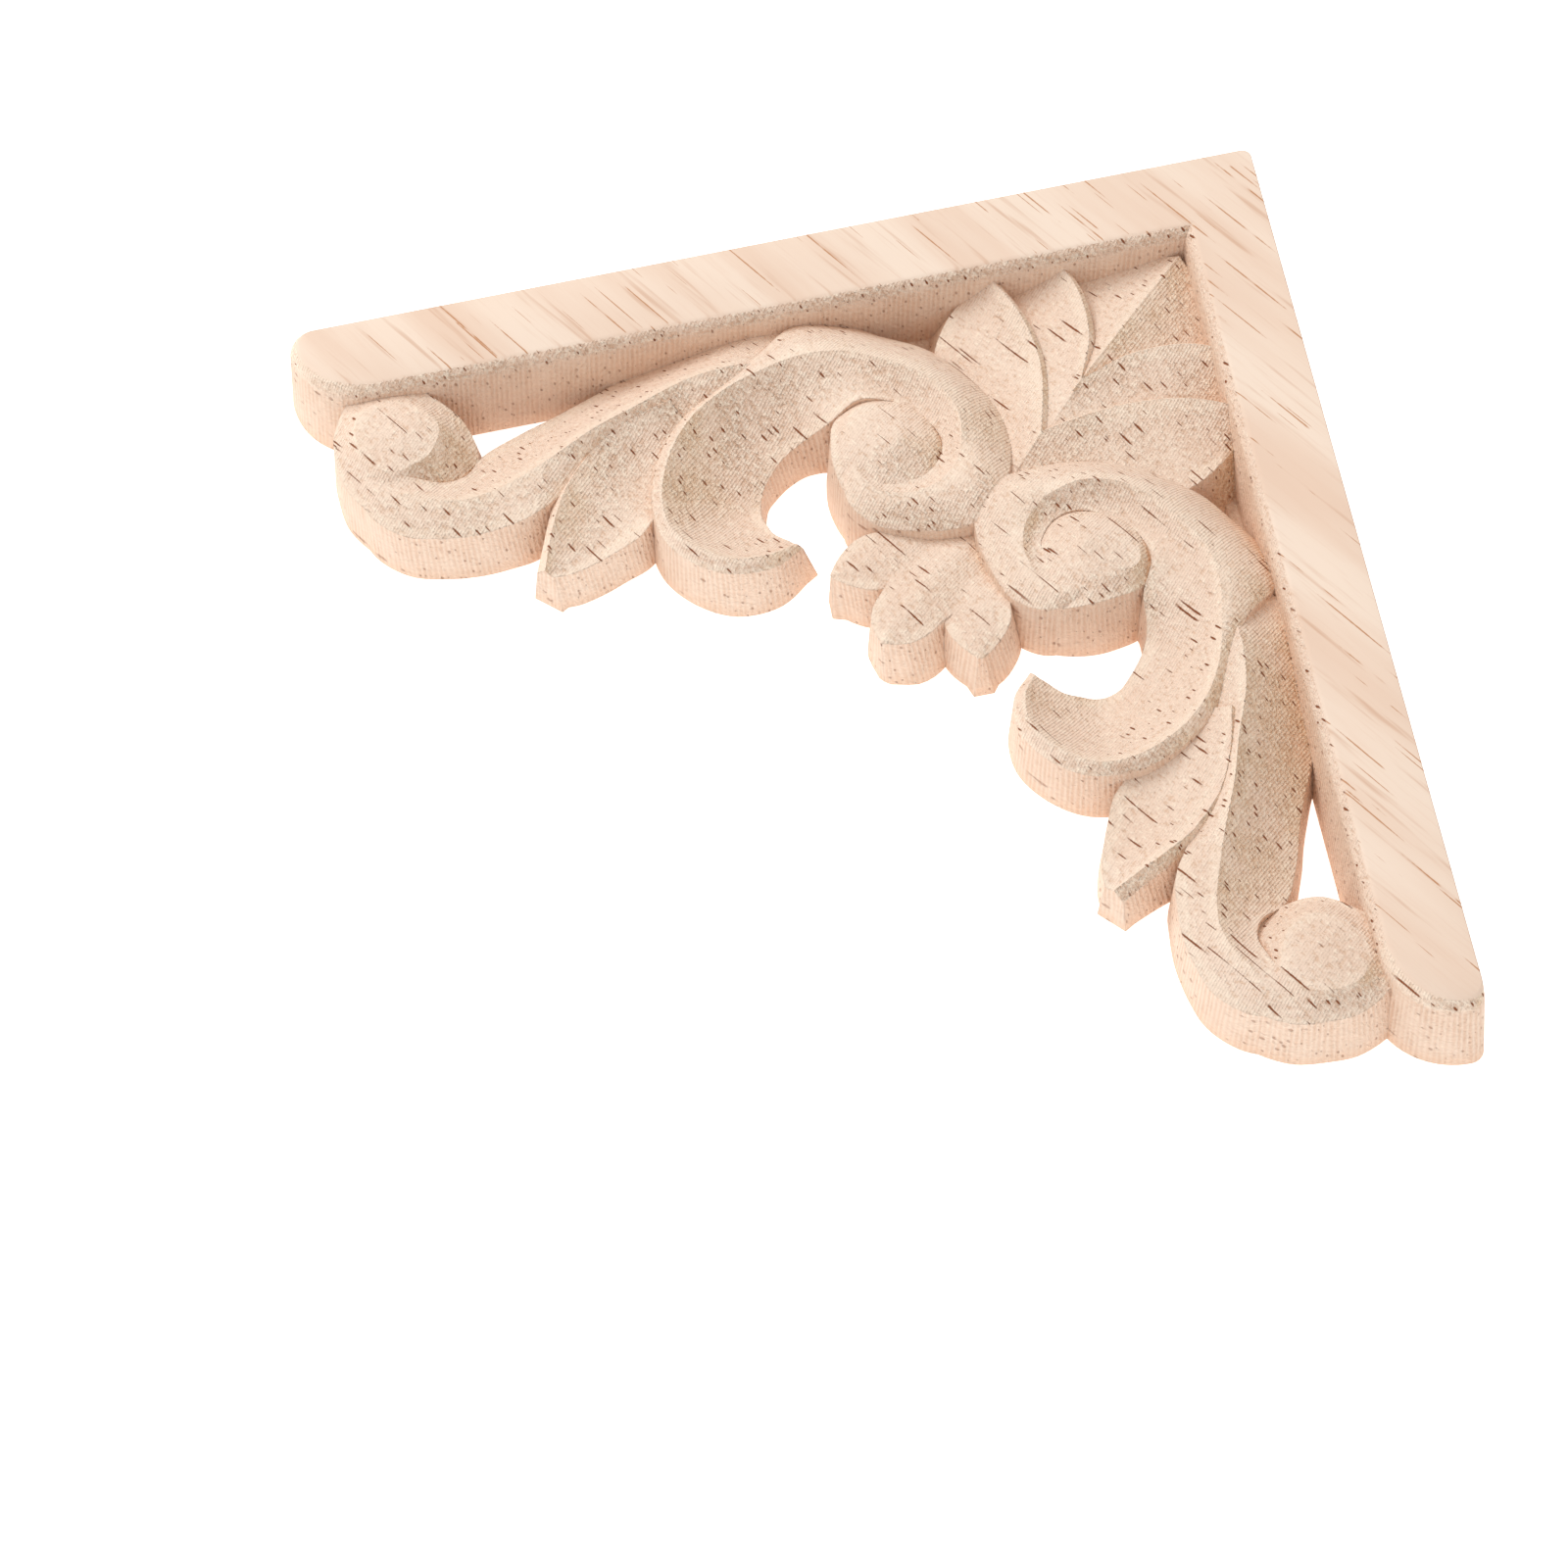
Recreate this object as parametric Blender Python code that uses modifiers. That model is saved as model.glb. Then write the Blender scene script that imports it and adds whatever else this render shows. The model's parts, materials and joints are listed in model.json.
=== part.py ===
"""Wooden corner onlay: one carved board, lying on its flat back.

Two equal arms meet at a right angle. Each arm is a flat frame bar with a scroll along its inside.
Half of the onlay is built from carved elements, which are joined and cut flat at the back. The half
is then mirrored across the diagonal. Inside this script a point is (a, b, h) in millimetres: a runs
from the outer corner along one arm, b from that arm's outer edge inwards, and h up from the back.
"""
import math

import bmesh
import bpy
import numpy as np

MM = 0.001

# The board
ARM_LENGTH = 101.0
THICKNESS = 10.0
# A tapered cutter leaves each wall leaning outwards by this much for each millimetre of height.
DRAFT = 0.12
# The elements reach this far below the back before they are cut flat.
BELOW = 1.0

# The frame bar
FLAT_WIDTH = 7.4
CHAMFER_WIDTH = 1.2
CHAMFER_DEPTH = 1.6
END_CORNER_RADIUS = 1.5
END_ROUND = 8.0
APEX_RADIUS = 1.0

# The narrow flank outside the rim of the leaf
FLANK_WIDTH = 1.1
FLANK_DROP = 1.2

# How deep a surface sinks between two rails, as a share of the distance between them
HOLLOW = 0.10
SHALLOW = 0.05
EYE_HOLLOW = 0.06
# How high the scroll's outer side swells between its rails, as the same share
SWELL = 0.10

# End volute: the flat eye, as its edge and the foot of its slope, round the point EYE
END_EYE = (90.0, 13.6, 8.9)
END_EYE_EDGE = [
    (94.8, 13.6, 8.6), (94.0, 16.0, 8.4), (92.0, 17.6, 8.3), (89.7, 17.2, 8.2), (88.0, 16.4, 8.2),
    (87.0, 15.2, 8.3), (86.4, 13.7, 8.3), (86.8, 12.2, 8.4), (88.0, 10.7, 8.5), (90.2, 9.4, 8.5),
    (92.8, 9.6, 8.6), (94.5, 11.2, 8.6),
]
END_EYE_FOOT = [
    (97.2, 14.3, 7.0), (96.6, 18.0, 6.9), (93.6, 21.5, 6.8), (89.2, 19.3, 6.2), (86.0, 19.4, 5.2),
    (83.7, 17.4, 4.2), (83.1, 14.6, 5.0), (83.9, 12.2, 6.5), (85.7, 10.0, 7.4), (89.2, 7.2, 7.9),
    (94.2, 7.2, 7.7), (97.0, 11.2, 7.1),
]

# The band that runs round the end volute and on as the stem, up to the C-scroll
BAND_INNER = [
    (94.0, 15.6, 8.1), (91.7, 17.6, 8.1), (89.4, 18.4, 7.4), (86.8, 18.9, 6.5), (84.5, 17.9, 5.6),
    (82.9, 15.4, 4.3), (78.5, 13.2, 3.9), (75.0, 12.1, 4.0), (71.3, 10.7, 4.0), (67.0, 8.9, 3.7),
    (61.0, 8.3, 4.9), (55.0, 8.0, 6.2), (49.6, 8.4, 6.3),
]
BAND_RIDGE = [
    (95.2, 16.4, 7.6), (93.2, 19.3, 7.7), (90.5, 20.4, 7.9), (88.0, 21.6, 7.9), (85.4, 22.2, 7.8),
    (82.8, 21.9, 7.7), (78.6, 20.6, 7.9), (75.2, 19.3, 8.4), (71.2, 17.6, 9.0), (66.6, 16.1, 9.3),
    (60.9, 14.1, 9.3), (56.0, 13.5, 9.2), (51.0, 13.8, 8.2),
]
BAND_OUTER = [
    (96.2, 17.0, 6.8), (94.6, 21.6, 6.7), (91.9, 24.2, 6.5), (88.7, 25.3, 6.5), (85.0, 25.8, 6.5),
    (81.8, 25.6, 6.7), (78.4, 24.8, 6.9), (74.8, 22.5, 6.6), (70.9, 19.6, 6.8), (66.0, 17.8, 7.4),
    (60.6, 17.2, 7.4), (56.0, 17.2, 7.4), (50.5, 17.6, 6.5),
]

# The leaf under the stem, from its tip
LEAF_RIM = [
    (78.6, 31.0, 5.7), (77.7, 28.6, 6.6), (76.7, 26.2, 7.1), (75.2, 23.2, 7.3), (73.2, 20.7, 7.5),
    (70.6, 18.6, 7.9), (67.0, 17.0, 8.7), (63.0, 16.0, 9.0),
]
LEAF_LOWER = [
    (77.8, 31.7, 5.3), (75.9, 31.6, 5.2), (73.6, 31.0, 5.2), (71.1, 30.0, 5.2), (68.4, 28.8, 5.5),
    (66.0, 26.0, 5.8), (64.0, 22.0, 6.4), (61.5, 18.5, 7.2),
]

# The C-scroll from its tip, its rim going on round the inner volute
SCROLL_OUTER = [
    (53.0, 33.9, 5.3), (56.1, 36.1, 6.3), (59.9, 36.4, 6.8), (63.8, 34.3, 6.8), (66.3, 31.0, 6.8),
    (66.9, 26.7, 6.8), (65.7, 22.1, 7.0), (62.7, 17.8, 7.4), (58.4, 15.0, 7.8), (53.6, 12.5, 8.6),
    (49.0, 8.2, 6.5), (44.4, 8.4, 5.0), (40.2, 10.6, 4.6), (36.3, 13.4, 5.0), (32.7, 18.6, 5.8),
    (30.5, 24.4, 6.0), (30.9, 29.2, 6.9), (32.4, 33.4, 8.2), (34.6, 35.6, 7.6), (37.6, 36.0, 6.8),
    (41.4, 35.4, 6.7), (45.4, 34.0, 7.0), (47.8, 30.8, 7.6), (47.6, 27.4, 8.1),
]
SCROLL_RIM = [
    (53.6, 33.5, 5.7), (56.2, 34.9, 7.0), (59.5, 35.2, 7.7), (63.0, 33.2, 7.7), (65.3, 30.4, 7.7),
    (65.8, 26.8, 7.7), (64.6, 22.6, 8.0), (61.8, 18.6, 8.4), (57.9, 16.1, 8.9), (53.5, 14.8, 9.4),
    (49.0, 14.1, 9.7), (44.9, 14.6, 9.6), (41.3, 16.5, 9.7), (38.2, 18.8, 9.8), (35.9, 21.8, 9.8),
    (35.1, 25.2, 9.8), (35.4, 27.4, 9.4), (36.0, 29.0, 9.1), (37.0, 30.3, 8.9), (38.6, 31.4, 8.7),
    (41.2, 31.9, 8.5), (44.2, 31.0, 8.5), (46.0, 28.8, 8.7), (46.2, 26.6, 8.8),
]
SCROLL_INNER = [
    (54.1, 32.8, 5.2), (55.5, 31.2, 4.6), (56.0, 29.6, 4.0), (56.3, 28.2, 3.5), (56.2, 27.0, 3.2),
    (55.8, 25.6, 3.4), (54.9, 24.4, 4.0), (53.4, 23.0, 4.7), (51.6, 22.0, 5.2), (49.8, 21.6, 6.2),
    (47.8, 21.4, 7.6), (44.6, 19.9, 8.4), (41.6, 20.5, 8.1), (39.6, 21.7, 8.0), (38.1, 23.9, 8.0),
    (37.3, 26.0, 8.0), (37.5, 27.4, 8.0), (38.1, 28.5, 8.0), (38.9, 29.3, 8.0), (40.0, 30.0, 8.0),
    (41.4, 30.2, 8.1), (43.2, 29.4, 8.3), (44.4, 28.0, 8.6), (44.6, 26.4, 8.8),
]

# Inner volute: the domed eye, as the edge of the dome and the foot of its skirt
INNER_EYE = (41.6, 26.1, 9.6)
INNER_EYE_EDGE = [
    (45.4, 26.4, 9.2), (44.6, 28.0, 9.0), (43.4, 29.2, 8.7), (41.6, 29.6, 8.4), (39.8, 29.2, 8.2),
    (38.4, 28.0, 8.2), (37.8, 26.2, 8.2), (38.4, 23.8, 8.2), (40.1, 21.7, 8.3), (43.0, 20.9, 8.6),
    (45.4, 21.6, 8.9), (46.2, 24.0, 9.1),
]
INNER_EYE_FOOT = [
    (48.4, 27.0, 8.2), (47.8, 30.0, 7.5), (46.0, 33.0, 6.8), (42.4, 34.4, 6.4), (39.0, 33.0, 6.4),
    (36.8, 30.2, 6.6), (36.2, 26.0, 6.6), (37.0, 22.6, 6.6), (39.0, 19.8, 6.6), (43.0, 18.6, 6.8),
    (47.4, 21.6, 7.8), (48.2, 24.2, 8.3),
]

# The palmette. Each leaf rises towards the middle to a ridge, then drops to the next.
OUTER_LEAF_RIDGE = [
    (28.8, 8.0, 8.0), (27.2, 11.3, 7.8), (26.3, 14.0, 7.5), (25.8, 17.0, 7.2), (25.9, 20.5, 7.3),
    (26.6, 24.2, 7.6), (27.4, 27.4, 7.8), (28.0, 30.0, 7.9),
]
OUTER_LEAF_EDGE = [
    (31.8, 8.4, 5.4), (33.8, 10.6, 5.5), (35.5, 13.4, 5.4), (36.2, 16.4, 5.4), (35.2, 19.6, 5.6),
    (33.4, 23.4, 5.8), (32.6, 27.4, 6.0), (32.4, 31.8, 6.6),
]
# The outer leaf's wall spreads out into the corner of the opening, which the cutter left round.
OUTER_LEAF_BASE = [
    (36.4, 8.4, -0.5), (36.7, 11.0, -0.5), (36.7, 14.2, -0.5), (37.0, 17.0, -0.5), (36.0, 20.1, -0.5),
    (34.2, 23.9, -0.5), (33.4, 27.4, -0.5), (33.2, 31.8, -0.5),
]
# The narrow end of that opening, too tight for the cutter, keeps a low web beside the frame bar.
WEB_INNER = [(35.2, 7.9, 1.2), (38.6, 7.9, 1.4), (42.4, 7.9, 1.8)]
WEB_OUTER = [(35.2, 10.6, 1.0), (38.6, 10.5, 1.2), (42.4, 10.4, 1.6)]
SECOND_LEAF_RIDGE = [
    (21.4, 8.0, 7.6), (20.5, 10.6, 7.7), (20.1, 14.0, 7.7), (20.4, 17.4, 7.7), (21.3, 19.9, 7.8),
    (22.2, 22.2, 7.9), (22.9, 24.4, 7.9),
]
SECOND_LEAF_EDGE = [
    (27.6, 8.0, 4.6), (27.6, 11.0, 5.2), (26.8, 14.6, 6.2), (26.6, 18.2, 6.3), (27.0, 22.0, 6.7),
    (28.0, 27.0, 7.2), (28.6, 30.0, 7.4),
]
MIDDLE_LEAF_RIDGE = [
    (9.4, 9.4, 7.2), (12.0, 12.0, 7.4), (14.6, 14.6, 7.6), (17.2, 17.2, 7.7), (20.0, 20.0, 7.8),
    (23.4, 23.4, 7.8),
]
MIDDLE_LEAF_EDGE = [
    (11.4, 8.4, 6.4), (15.4, 8.2, 5.6), (20.6, 8.6, 4.9), (21.0, 13.4, 5.9), (21.3, 17.6, 6.5),
    (23.0, 22.4, 7.4),
]

# The bud: a side lobe and half of the middle lobe
LOBE_UPPER = [
    (40.4, 34.6, 5.0), (44.6, 34.2, 6.0), (47.9, 34.9, 6.4), (49.9, 36.6, 6.4), (50.9, 38.0, 6.3),
]
LOBE_RIDGE = [
    (40.4, 37.2, 5.4), (44.6, 37.4, 6.4), (47.9, 37.9, 6.7), (49.7, 38.2, 6.6), (51.0, 38.3, 6.4),
]
LOBE_LOWER = [
    (40.4, 40.4, 5.8), (44.4, 40.8, 6.3), (47.2, 40.9, 6.4), (49.3, 39.9, 6.4), (50.9, 38.6, 6.3),
]
BUD_EDGE = [
    (40.0, 32.0, 4.0), (43.6, 36.0, 5.4), (46.0, 41.0, 6.6), (47.6, 43.2, 6.9), (48.1, 45.4, 7.0),
    (47.7, 47.2, 7.1),
]
BUD_RIDGE = [
    (34.0, 34.0, 4.4), (38.6, 38.6, 6.0), (43.2, 43.2, 7.2), (45.0, 45.0, 7.3), (46.6, 46.6, 7.3),
    (47.6, 47.6, 7.2),
]

# The low ground under the palmette and between the volutes, along the diagonal
CORE_MIDDLE = [
    (13.0, 13.0, 4.8), (22.0, 22.0, 6.0), (28.0, 28.0, 6.6), (32.0, 32.0, 6.2), (37.0, 37.0, 4.4),
]
CORE_EDGE = [
    (17.0, 10.0, 4.4), (27.0, 17.0, 5.2), (31.0, 23.0, 5.4), (36.0, 27.0, 5.2), (41.0, 33.0, 4.0),
]

# How many stations each curve is cut into
BAND_STEPS = 40
SCROLL_STEPS = 56
LEAF_STEPS = 18
EYE_STEPS = 28
LOBE_STEPS = 10
WEB_STEPS = 3

# Points round each kind of corner of the frame bar
APEX_STEPS = 7
CORNER_STEPS = 6
END_STEPS = 12

# The palmette's steps: how far the rounded top of a step reaches, and how far it drops
STEP_REACH = 0.5
STEP_DROP = 0.6
# The far side of the diagonal: how far a rail there lies from the diagonal, and how far it drops
PAST_REACH = 2.5
LEAF_DROP = 1.0
BUD_DROP = 0.4

# The mirror cuts and joins only what lies on the diagonal to within this many metres.
MIRROR_GAP = 1e-6
# The half's diagonal points up the Y axis, so this turn brings the arms along -X and -Y.
TURN = 135.0

WOOD = (0.86, 0.70, 0.53, 1.0)
ROUGHNESS = 0.75


def place(point):
    """A point (a, b, h) as the half's own x, y, z in metres, with the diagonal on x = 0."""
    a, b, h = point
    return ((a - b) / math.sqrt(2) * MM, (a + b) / math.sqrt(2) * MM, h * MM)


def smooth(rail, knots, at):
    """Points on a smooth curve through the rail, at the given places along it."""
    slopes = np.gradient(rail, knots, axis=0)
    left = np.clip(np.searchsorted(knots, at, side="right") - 1, 0, len(knots) - 2)
    width = (knots[left + 1] - knots[left])[:, None]
    t = (at - knots[left])[:, None] / width
    return (
        (2 * t**3 - 3 * t**2 + 1) * rail[left]
        + (t**3 - 2 * t**2 + t) * width * slopes[left]
        + (3 * t**2 - 2 * t**3) * rail[left + 1]
        + (t**3 - t**2) * width * slopes[left + 1]
    )


def resample(rails, steps, closed=False):
    """Every rail at the same places, spaced by the mean length of the rails."""
    rails = [np.array(rail, float) for rail in rails]
    if closed:
        # The rail's own points on both sides of the seam keep the curve smooth across it.
        wrap = 3
        rails = [np.vstack([rail[-wrap:], rail, rail[: wrap + 1]]) for rail in rails]
    mean = sum(rails) / len(rails)
    knots = np.append(0, np.cumsum(np.linalg.norm(np.diff(mean, axis=0), axis=1)))
    if closed:
        at = np.linspace(knots[wrap], knots[-wrap - 1], steps + 1)[:-1]
    else:
        at = np.linspace(knots[0], knots[-1], steps)
    return [smooth(rail, knots, at) for rail in rails]


def between(near, far, steps, hollow):
    """Rows of points from one rail to the next, sinking by a share of the distance between them."""
    span = np.linalg.norm((far - near)[:, :2], axis=1)
    rows = []
    for step in range(1, steps):
        t = step / steps
        row = near * (1 - t) + far * t
        row[:, 2] -= 4 * t * (1 - t) * hollow * span
        rows.append(row)
    return rows


def wall_foot(edge, inside):
    """The foot of the leaning wall that drops from an edge to below the back."""
    away = (edge - inside)[:, :2]
    away /= np.linalg.norm(away, axis=1)[:, None]
    drop = edge[:, 2:] + BELOW
    return np.hstack([edge[:, :2] + away * DRAFT * drop, np.full_like(drop, -BELOW)])


def lean_ends(rows):
    """Moves the feet at both end caps outwards, so that the caps lean as the walls do."""
    ridge = rows[len(rows) // 2]
    for end, inside in ((0, 1), (-1, -2)):
        onward = (ridge[end] - ridge[inside])[:2]
        onward /= np.linalg.norm(onward)
        for foot, edge in ((rows[0], rows[1]), (rows[-1], rows[-2])):
            foot[end, :2] += onward * DRAFT * (edge[end, 2] + BELOW)


def make_object(name, points, faces, collection):
    """A mesh object from points in millimetres, with its faces turned outwards."""
    mesh = bpy.data.meshes.new(name)
    mesh.from_pydata([place(point) for point in points], [], faces)
    shape = bmesh.new()
    shape.from_mesh(mesh)
    bmesh.ops.recalc_face_normals(shape, faces=shape.faces)
    shape.to_mesh(mesh)
    shape.free()
    made = bpy.data.objects.new(name, mesh)
    collection.objects.link(made)
    return made


def carve_strip(name, rails, steps, across, collection):
    """A raised strip over its rails: skin, leaning walls, a flat bottom and an end cap each way.

    across holds, for each gap between two rails, the number of steps in it and its hollow.
    """
    curves = resample(rails, steps)
    rows = [wall_foot(curves[0], curves[1]), curves[0]]
    for near, far, (count, hollow) in zip(curves, curves[1:], across):
        rows += between(near, far, count, hollow)
        rows.append(far)
    rows.append(wall_foot(curves[-1], curves[-2]))
    lean_ends(rows)
    wide = len(rows)
    points = [row[station] for station in range(steps) for row in rows]
    faces = []
    for station in range(steps - 1):
        here = station * wide
        for row in range(wide):
            after = (row + 1) % wide
            faces.append((here + row, here + after, here + wide + after, here + wide + row))
    faces.append(tuple(range(wide)))
    faces.append(tuple(range((steps - 1) * wide, steps * wide)))
    return make_object(name, points, faces, collection)


def carve_boss(name, centre, rails, steps, across, collection):
    """A raised boss: rings round a centre, a leaning wall and a flat bottom."""
    curves = resample(rails, steps, closed=True)
    middle = np.tile(np.array(centre, float), (steps, 1))
    rows = between(middle, curves[0], 2, 0) + [curves[0]]
    for near, far, (count, hollow) in zip(curves, curves[1:], across):
        rows += between(near, far, count, hollow)
        rows.append(far)
    rows.append(wall_foot(curves[-1], curves[-2]))
    points = [centre] + [row[ray] for row in rows for ray in range(steps)]
    faces = []
    for ray in range(steps):
        after = (ray + 1) % steps
        faces.append((0, 1 + ray, 1 + after))
        for ring in range(len(rows) - 1):
            inner = 1 + ring * steps
            outer = inner + steps
            faces.append((inner + ray, outer + ray, outer + after, inner + after))
    last = 1 + (len(rows) - 1) * steps
    faces.append(tuple(range(last, last + steps)))
    return make_object(name, points, faces, collection)


def quarter(centre, radii, start, steps):
    """A quarter turn of an ellipse, anticlockwise in (a, b)."""
    turns = np.linspace(start, start + math.pi / 2, steps + 1)
    return list(zip(centre[0] + radii[0] * np.cos(turns), centre[1] + radii[1] * np.sin(turns)))


def bar_outline(width, reach):
    """The frame bar's outline at one level: from past the diagonal out to the arm's end and back."""
    corner = END_CORNER_RADIUS
    outline = [(0.0, 2 * FLAT_WIDTH)]
    outline += quarter((APEX_RADIUS, APEX_RADIUS), (APEX_RADIUS, APEX_RADIUS), math.pi, APEX_STEPS)
    outline += quarter((reach - corner, corner), (corner, corner), -math.pi / 2, CORNER_STEPS)
    # The end's long curve starts where the corner's short one stops, so that point is left out.
    outline += quarter((reach - END_ROUND, corner), (END_ROUND, width - corner), 0, END_STEPS)[1:]
    outline += [(width, width), (width, 2 * FLAT_WIDTH)]
    return outline


def build_bar(collection):
    """The frame bar with its chamfered inner edge and rounded end, as the half's base shape."""
    wall_top = THICKNESS - CHAMFER_DEPTH
    chamfer_foot = FLAT_WIDTH + CHAMFER_WIDTH
    lean = DRAFT * wall_top
    low = BELOW * DRAFT
    levels = [
        (-BELOW, bar_outline(chamfer_foot + lean + low, ARM_LENGTH + low)),
        (wall_top, bar_outline(chamfer_foot, ARM_LENGTH - lean)),
        (THICKNESS, bar_outline(FLAT_WIDTH, ARM_LENGTH - lean - CHAMFER_WIDTH)),
    ]
    count = len(levels[0][1])
    points = [(a, b, h) for h, outline in levels for a, b in outline]
    faces = [tuple(range(count)), tuple(range(2 * count, 3 * count))]
    for level in range(len(levels) - 1):
        for corner in range(count):
            after = (corner + 1) % count
            here = level * count
            faces.append((here + corner, here + after, here + count + after, here + count + corner))
    return make_object("corner_onlay", points, faces, collection)


def flank_of(rim, inside, width, drop):
    """The foot of the narrow flank outside a rim, on the side away from the inside rail."""
    rim = np.array(rim, float)
    away = (rim - np.array(inside, float))[:, :2]
    away /= np.linalg.norm(away, axis=1)[:, None]
    return np.hstack([rim[:, :2] + away * width, rim[:, 2:] - drop])


def past_diagonal(ridge, drop):
    """A rail on the far side of the diagonal, falling from a ridge that lies on it."""
    return [(a - PAST_REACH, b + PAST_REACH, h - drop) for a, b, h in ridge]


def build_carving(collection):
    """Every element of one arm's carving, each reaching into its neighbours."""
    leaf_flank = flank_of(LEAF_RIM, LEAF_LOWER, FLANK_WIDTH, FLANK_DROP)
    outer_step = flank_of(OUTER_LEAF_RIDGE, OUTER_LEAF_EDGE, STEP_REACH, STEP_DROP)
    second_step = flank_of(SECOND_LEAF_RIDGE, SECOND_LEAF_EDGE, STEP_REACH, STEP_DROP)
    middle_twin = past_diagonal(MIDDLE_LEAF_RIDGE, LEAF_DROP)
    bud_twin = past_diagonal(BUD_RIDGE, BUD_DROP)
    core_twin = past_diagonal(CORE_MIDDLE, 0.0)
    bosses = {
        "end_eye": (END_EYE, [END_EYE_EDGE, END_EYE_FOOT], [(3, EYE_HOLLOW)]),
        "inner_eye": (INNER_EYE, [INNER_EYE_EDGE, INNER_EYE_FOOT], [(2, 0)]),
    }
    for name, (centre, rails, across) in bosses.items():
        carve_boss(name, centre, rails, EYE_STEPS, across, collection)
    strips = {
        "stem_band": ([BAND_INNER, BAND_RIDGE, BAND_OUTER], BAND_STEPS, [(3, SHALLOW), (2, 0)]),
        "leaf": ([leaf_flank, LEAF_RIM, LEAF_LOWER], LEAF_STEPS, [(1, 0), (3, HOLLOW)]),
        "c_scroll": (
            [SCROLL_OUTER, SCROLL_RIM, SCROLL_INNER], SCROLL_STEPS, [(2, -SWELL), (4, HOLLOW)],
        ),
        "outer_leaf": (
            [outer_step, OUTER_LEAF_RIDGE, OUTER_LEAF_EDGE, OUTER_LEAF_BASE],
            LEAF_STEPS, [(1, 0), (3, SHALLOW), (1, 0)],
        ),
        "second_leaf": (
            [second_step, SECOND_LEAF_RIDGE, SECOND_LEAF_EDGE], LEAF_STEPS, [(1, 0), (3, SHALLOW)],
        ),
        "middle_leaf": (
            [middle_twin, MIDDLE_LEAF_RIDGE, MIDDLE_LEAF_EDGE], LEAF_STEPS, [(1, 0), (3, SHALLOW)],
        ),
        "web": ([WEB_INNER, WEB_OUTER], WEB_STEPS, [(1, 0)]),
        "core": ([core_twin, CORE_MIDDLE, CORE_EDGE], LOBE_STEPS, [(1, 0), (1, 0)]),
        "side_lobe": ([LOBE_UPPER, LOBE_RIDGE, LOBE_LOWER], LOBE_STEPS, [(2, 0), (2, 0)]),
        "middle_lobe": ([bud_twin, BUD_RIDGE, BUD_EDGE], LOBE_STEPS, [(1, 0), (2, 0)]),
    }
    for name, (rails, steps, across) in strips.items():
        carve_strip(name, rails, steps, across, collection)


def build_back_cutter(collection):
    """The block that cuts the back flat."""
    reach = 1.5 * ARM_LENGTH
    deep = 5 * BELOW
    square = [(-reach, -reach), (reach, -reach), (reach, reach), (-reach, reach)]
    points = [(a, b, h) for h in (-deep, 0.0) for a, b in square]
    faces = [(0, 1, 2, 3), (4, 5, 6, 7), (0, 1, 5, 4), (1, 2, 6, 5), (2, 3, 7, 6), (3, 0, 4, 7)]
    return make_object("back_cutter", points, faces, collection)


def wood_material():
    """Pale, dry, unfinished wood."""
    material = bpy.data.materials.new("pale_wood")
    material.use_nodes = True
    shader = material.node_tree.nodes["Principled BSDF"]
    shader.inputs["Base Color"].default_value = WOOD
    shader.inputs["Roughness"].default_value = ROUGHNESS
    shader.inputs["Metallic"].default_value = 0.0
    return material


def new_collection(name, hidden=False):
    """A collection in the scene, left out of the render if it holds helpers."""
    collection = bpy.data.collections.new(name)
    bpy.context.scene.collection.children.link(collection)
    collection.hide_render = hidden
    return collection


def main():
    for old in list(bpy.data.objects):
        bpy.data.objects.remove(old)
    onlay = new_collection("corner_onlay_object")
    carving = new_collection("carving", hidden=True)
    cutters = new_collection("cutters", hidden=True)
    part = build_bar(onlay)
    build_carving(carving)
    back = build_back_cutter(cutters)
    for helper in list(carving.objects) + [back]:
        helper.hide_render = True
        helper.display_type = "WIRE"

    union = part.modifiers.new("carving", "BOOLEAN")
    union.operation = "UNION"
    union.operand_type = "COLLECTION"
    union.collection = carving
    union.solver = "EXACT"
    union.use_self = True
    flat = part.modifiers.new("flat_back", "BOOLEAN")
    flat.operation = "DIFFERENCE"
    flat.object = back
    flat.solver = "EXACT"
    mirror = part.modifiers.new("other_arm", "MIRROR")
    mirror.use_axis = (True, False, False)
    mirror.use_bisect_axis = (True, False, False)
    mirror.bisect_threshold = MIRROR_GAP
    mirror.merge_threshold = MIRROR_GAP

    part.data.materials.append(wood_material())
    # The outer corner goes to +X, +Y, so that the middle of the box is on the origin.
    for made in [part, back] + list(carving.objects):
        made.rotation_euler = (0, 0, math.radians(TURN))
        made.location = (ARM_LENGTH / 2 * MM, ARM_LENGTH / 2 * MM, 0)


main()
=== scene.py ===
"""The looks of the wooden corner onlay: one carved board of pale, unsanded wood.

The onlay is shaped as in its solid, from carved elements that are joined, cut flat at the back and
mirrored across the diagonal, with finer steps and rounder profiles. Inside this script a point of the
carving is (a, b, h) in millimetres: a runs from the outer corner along one arm, b from that arm's
outer edge inwards, and h up from the back.
"""
import json
import math

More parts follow.
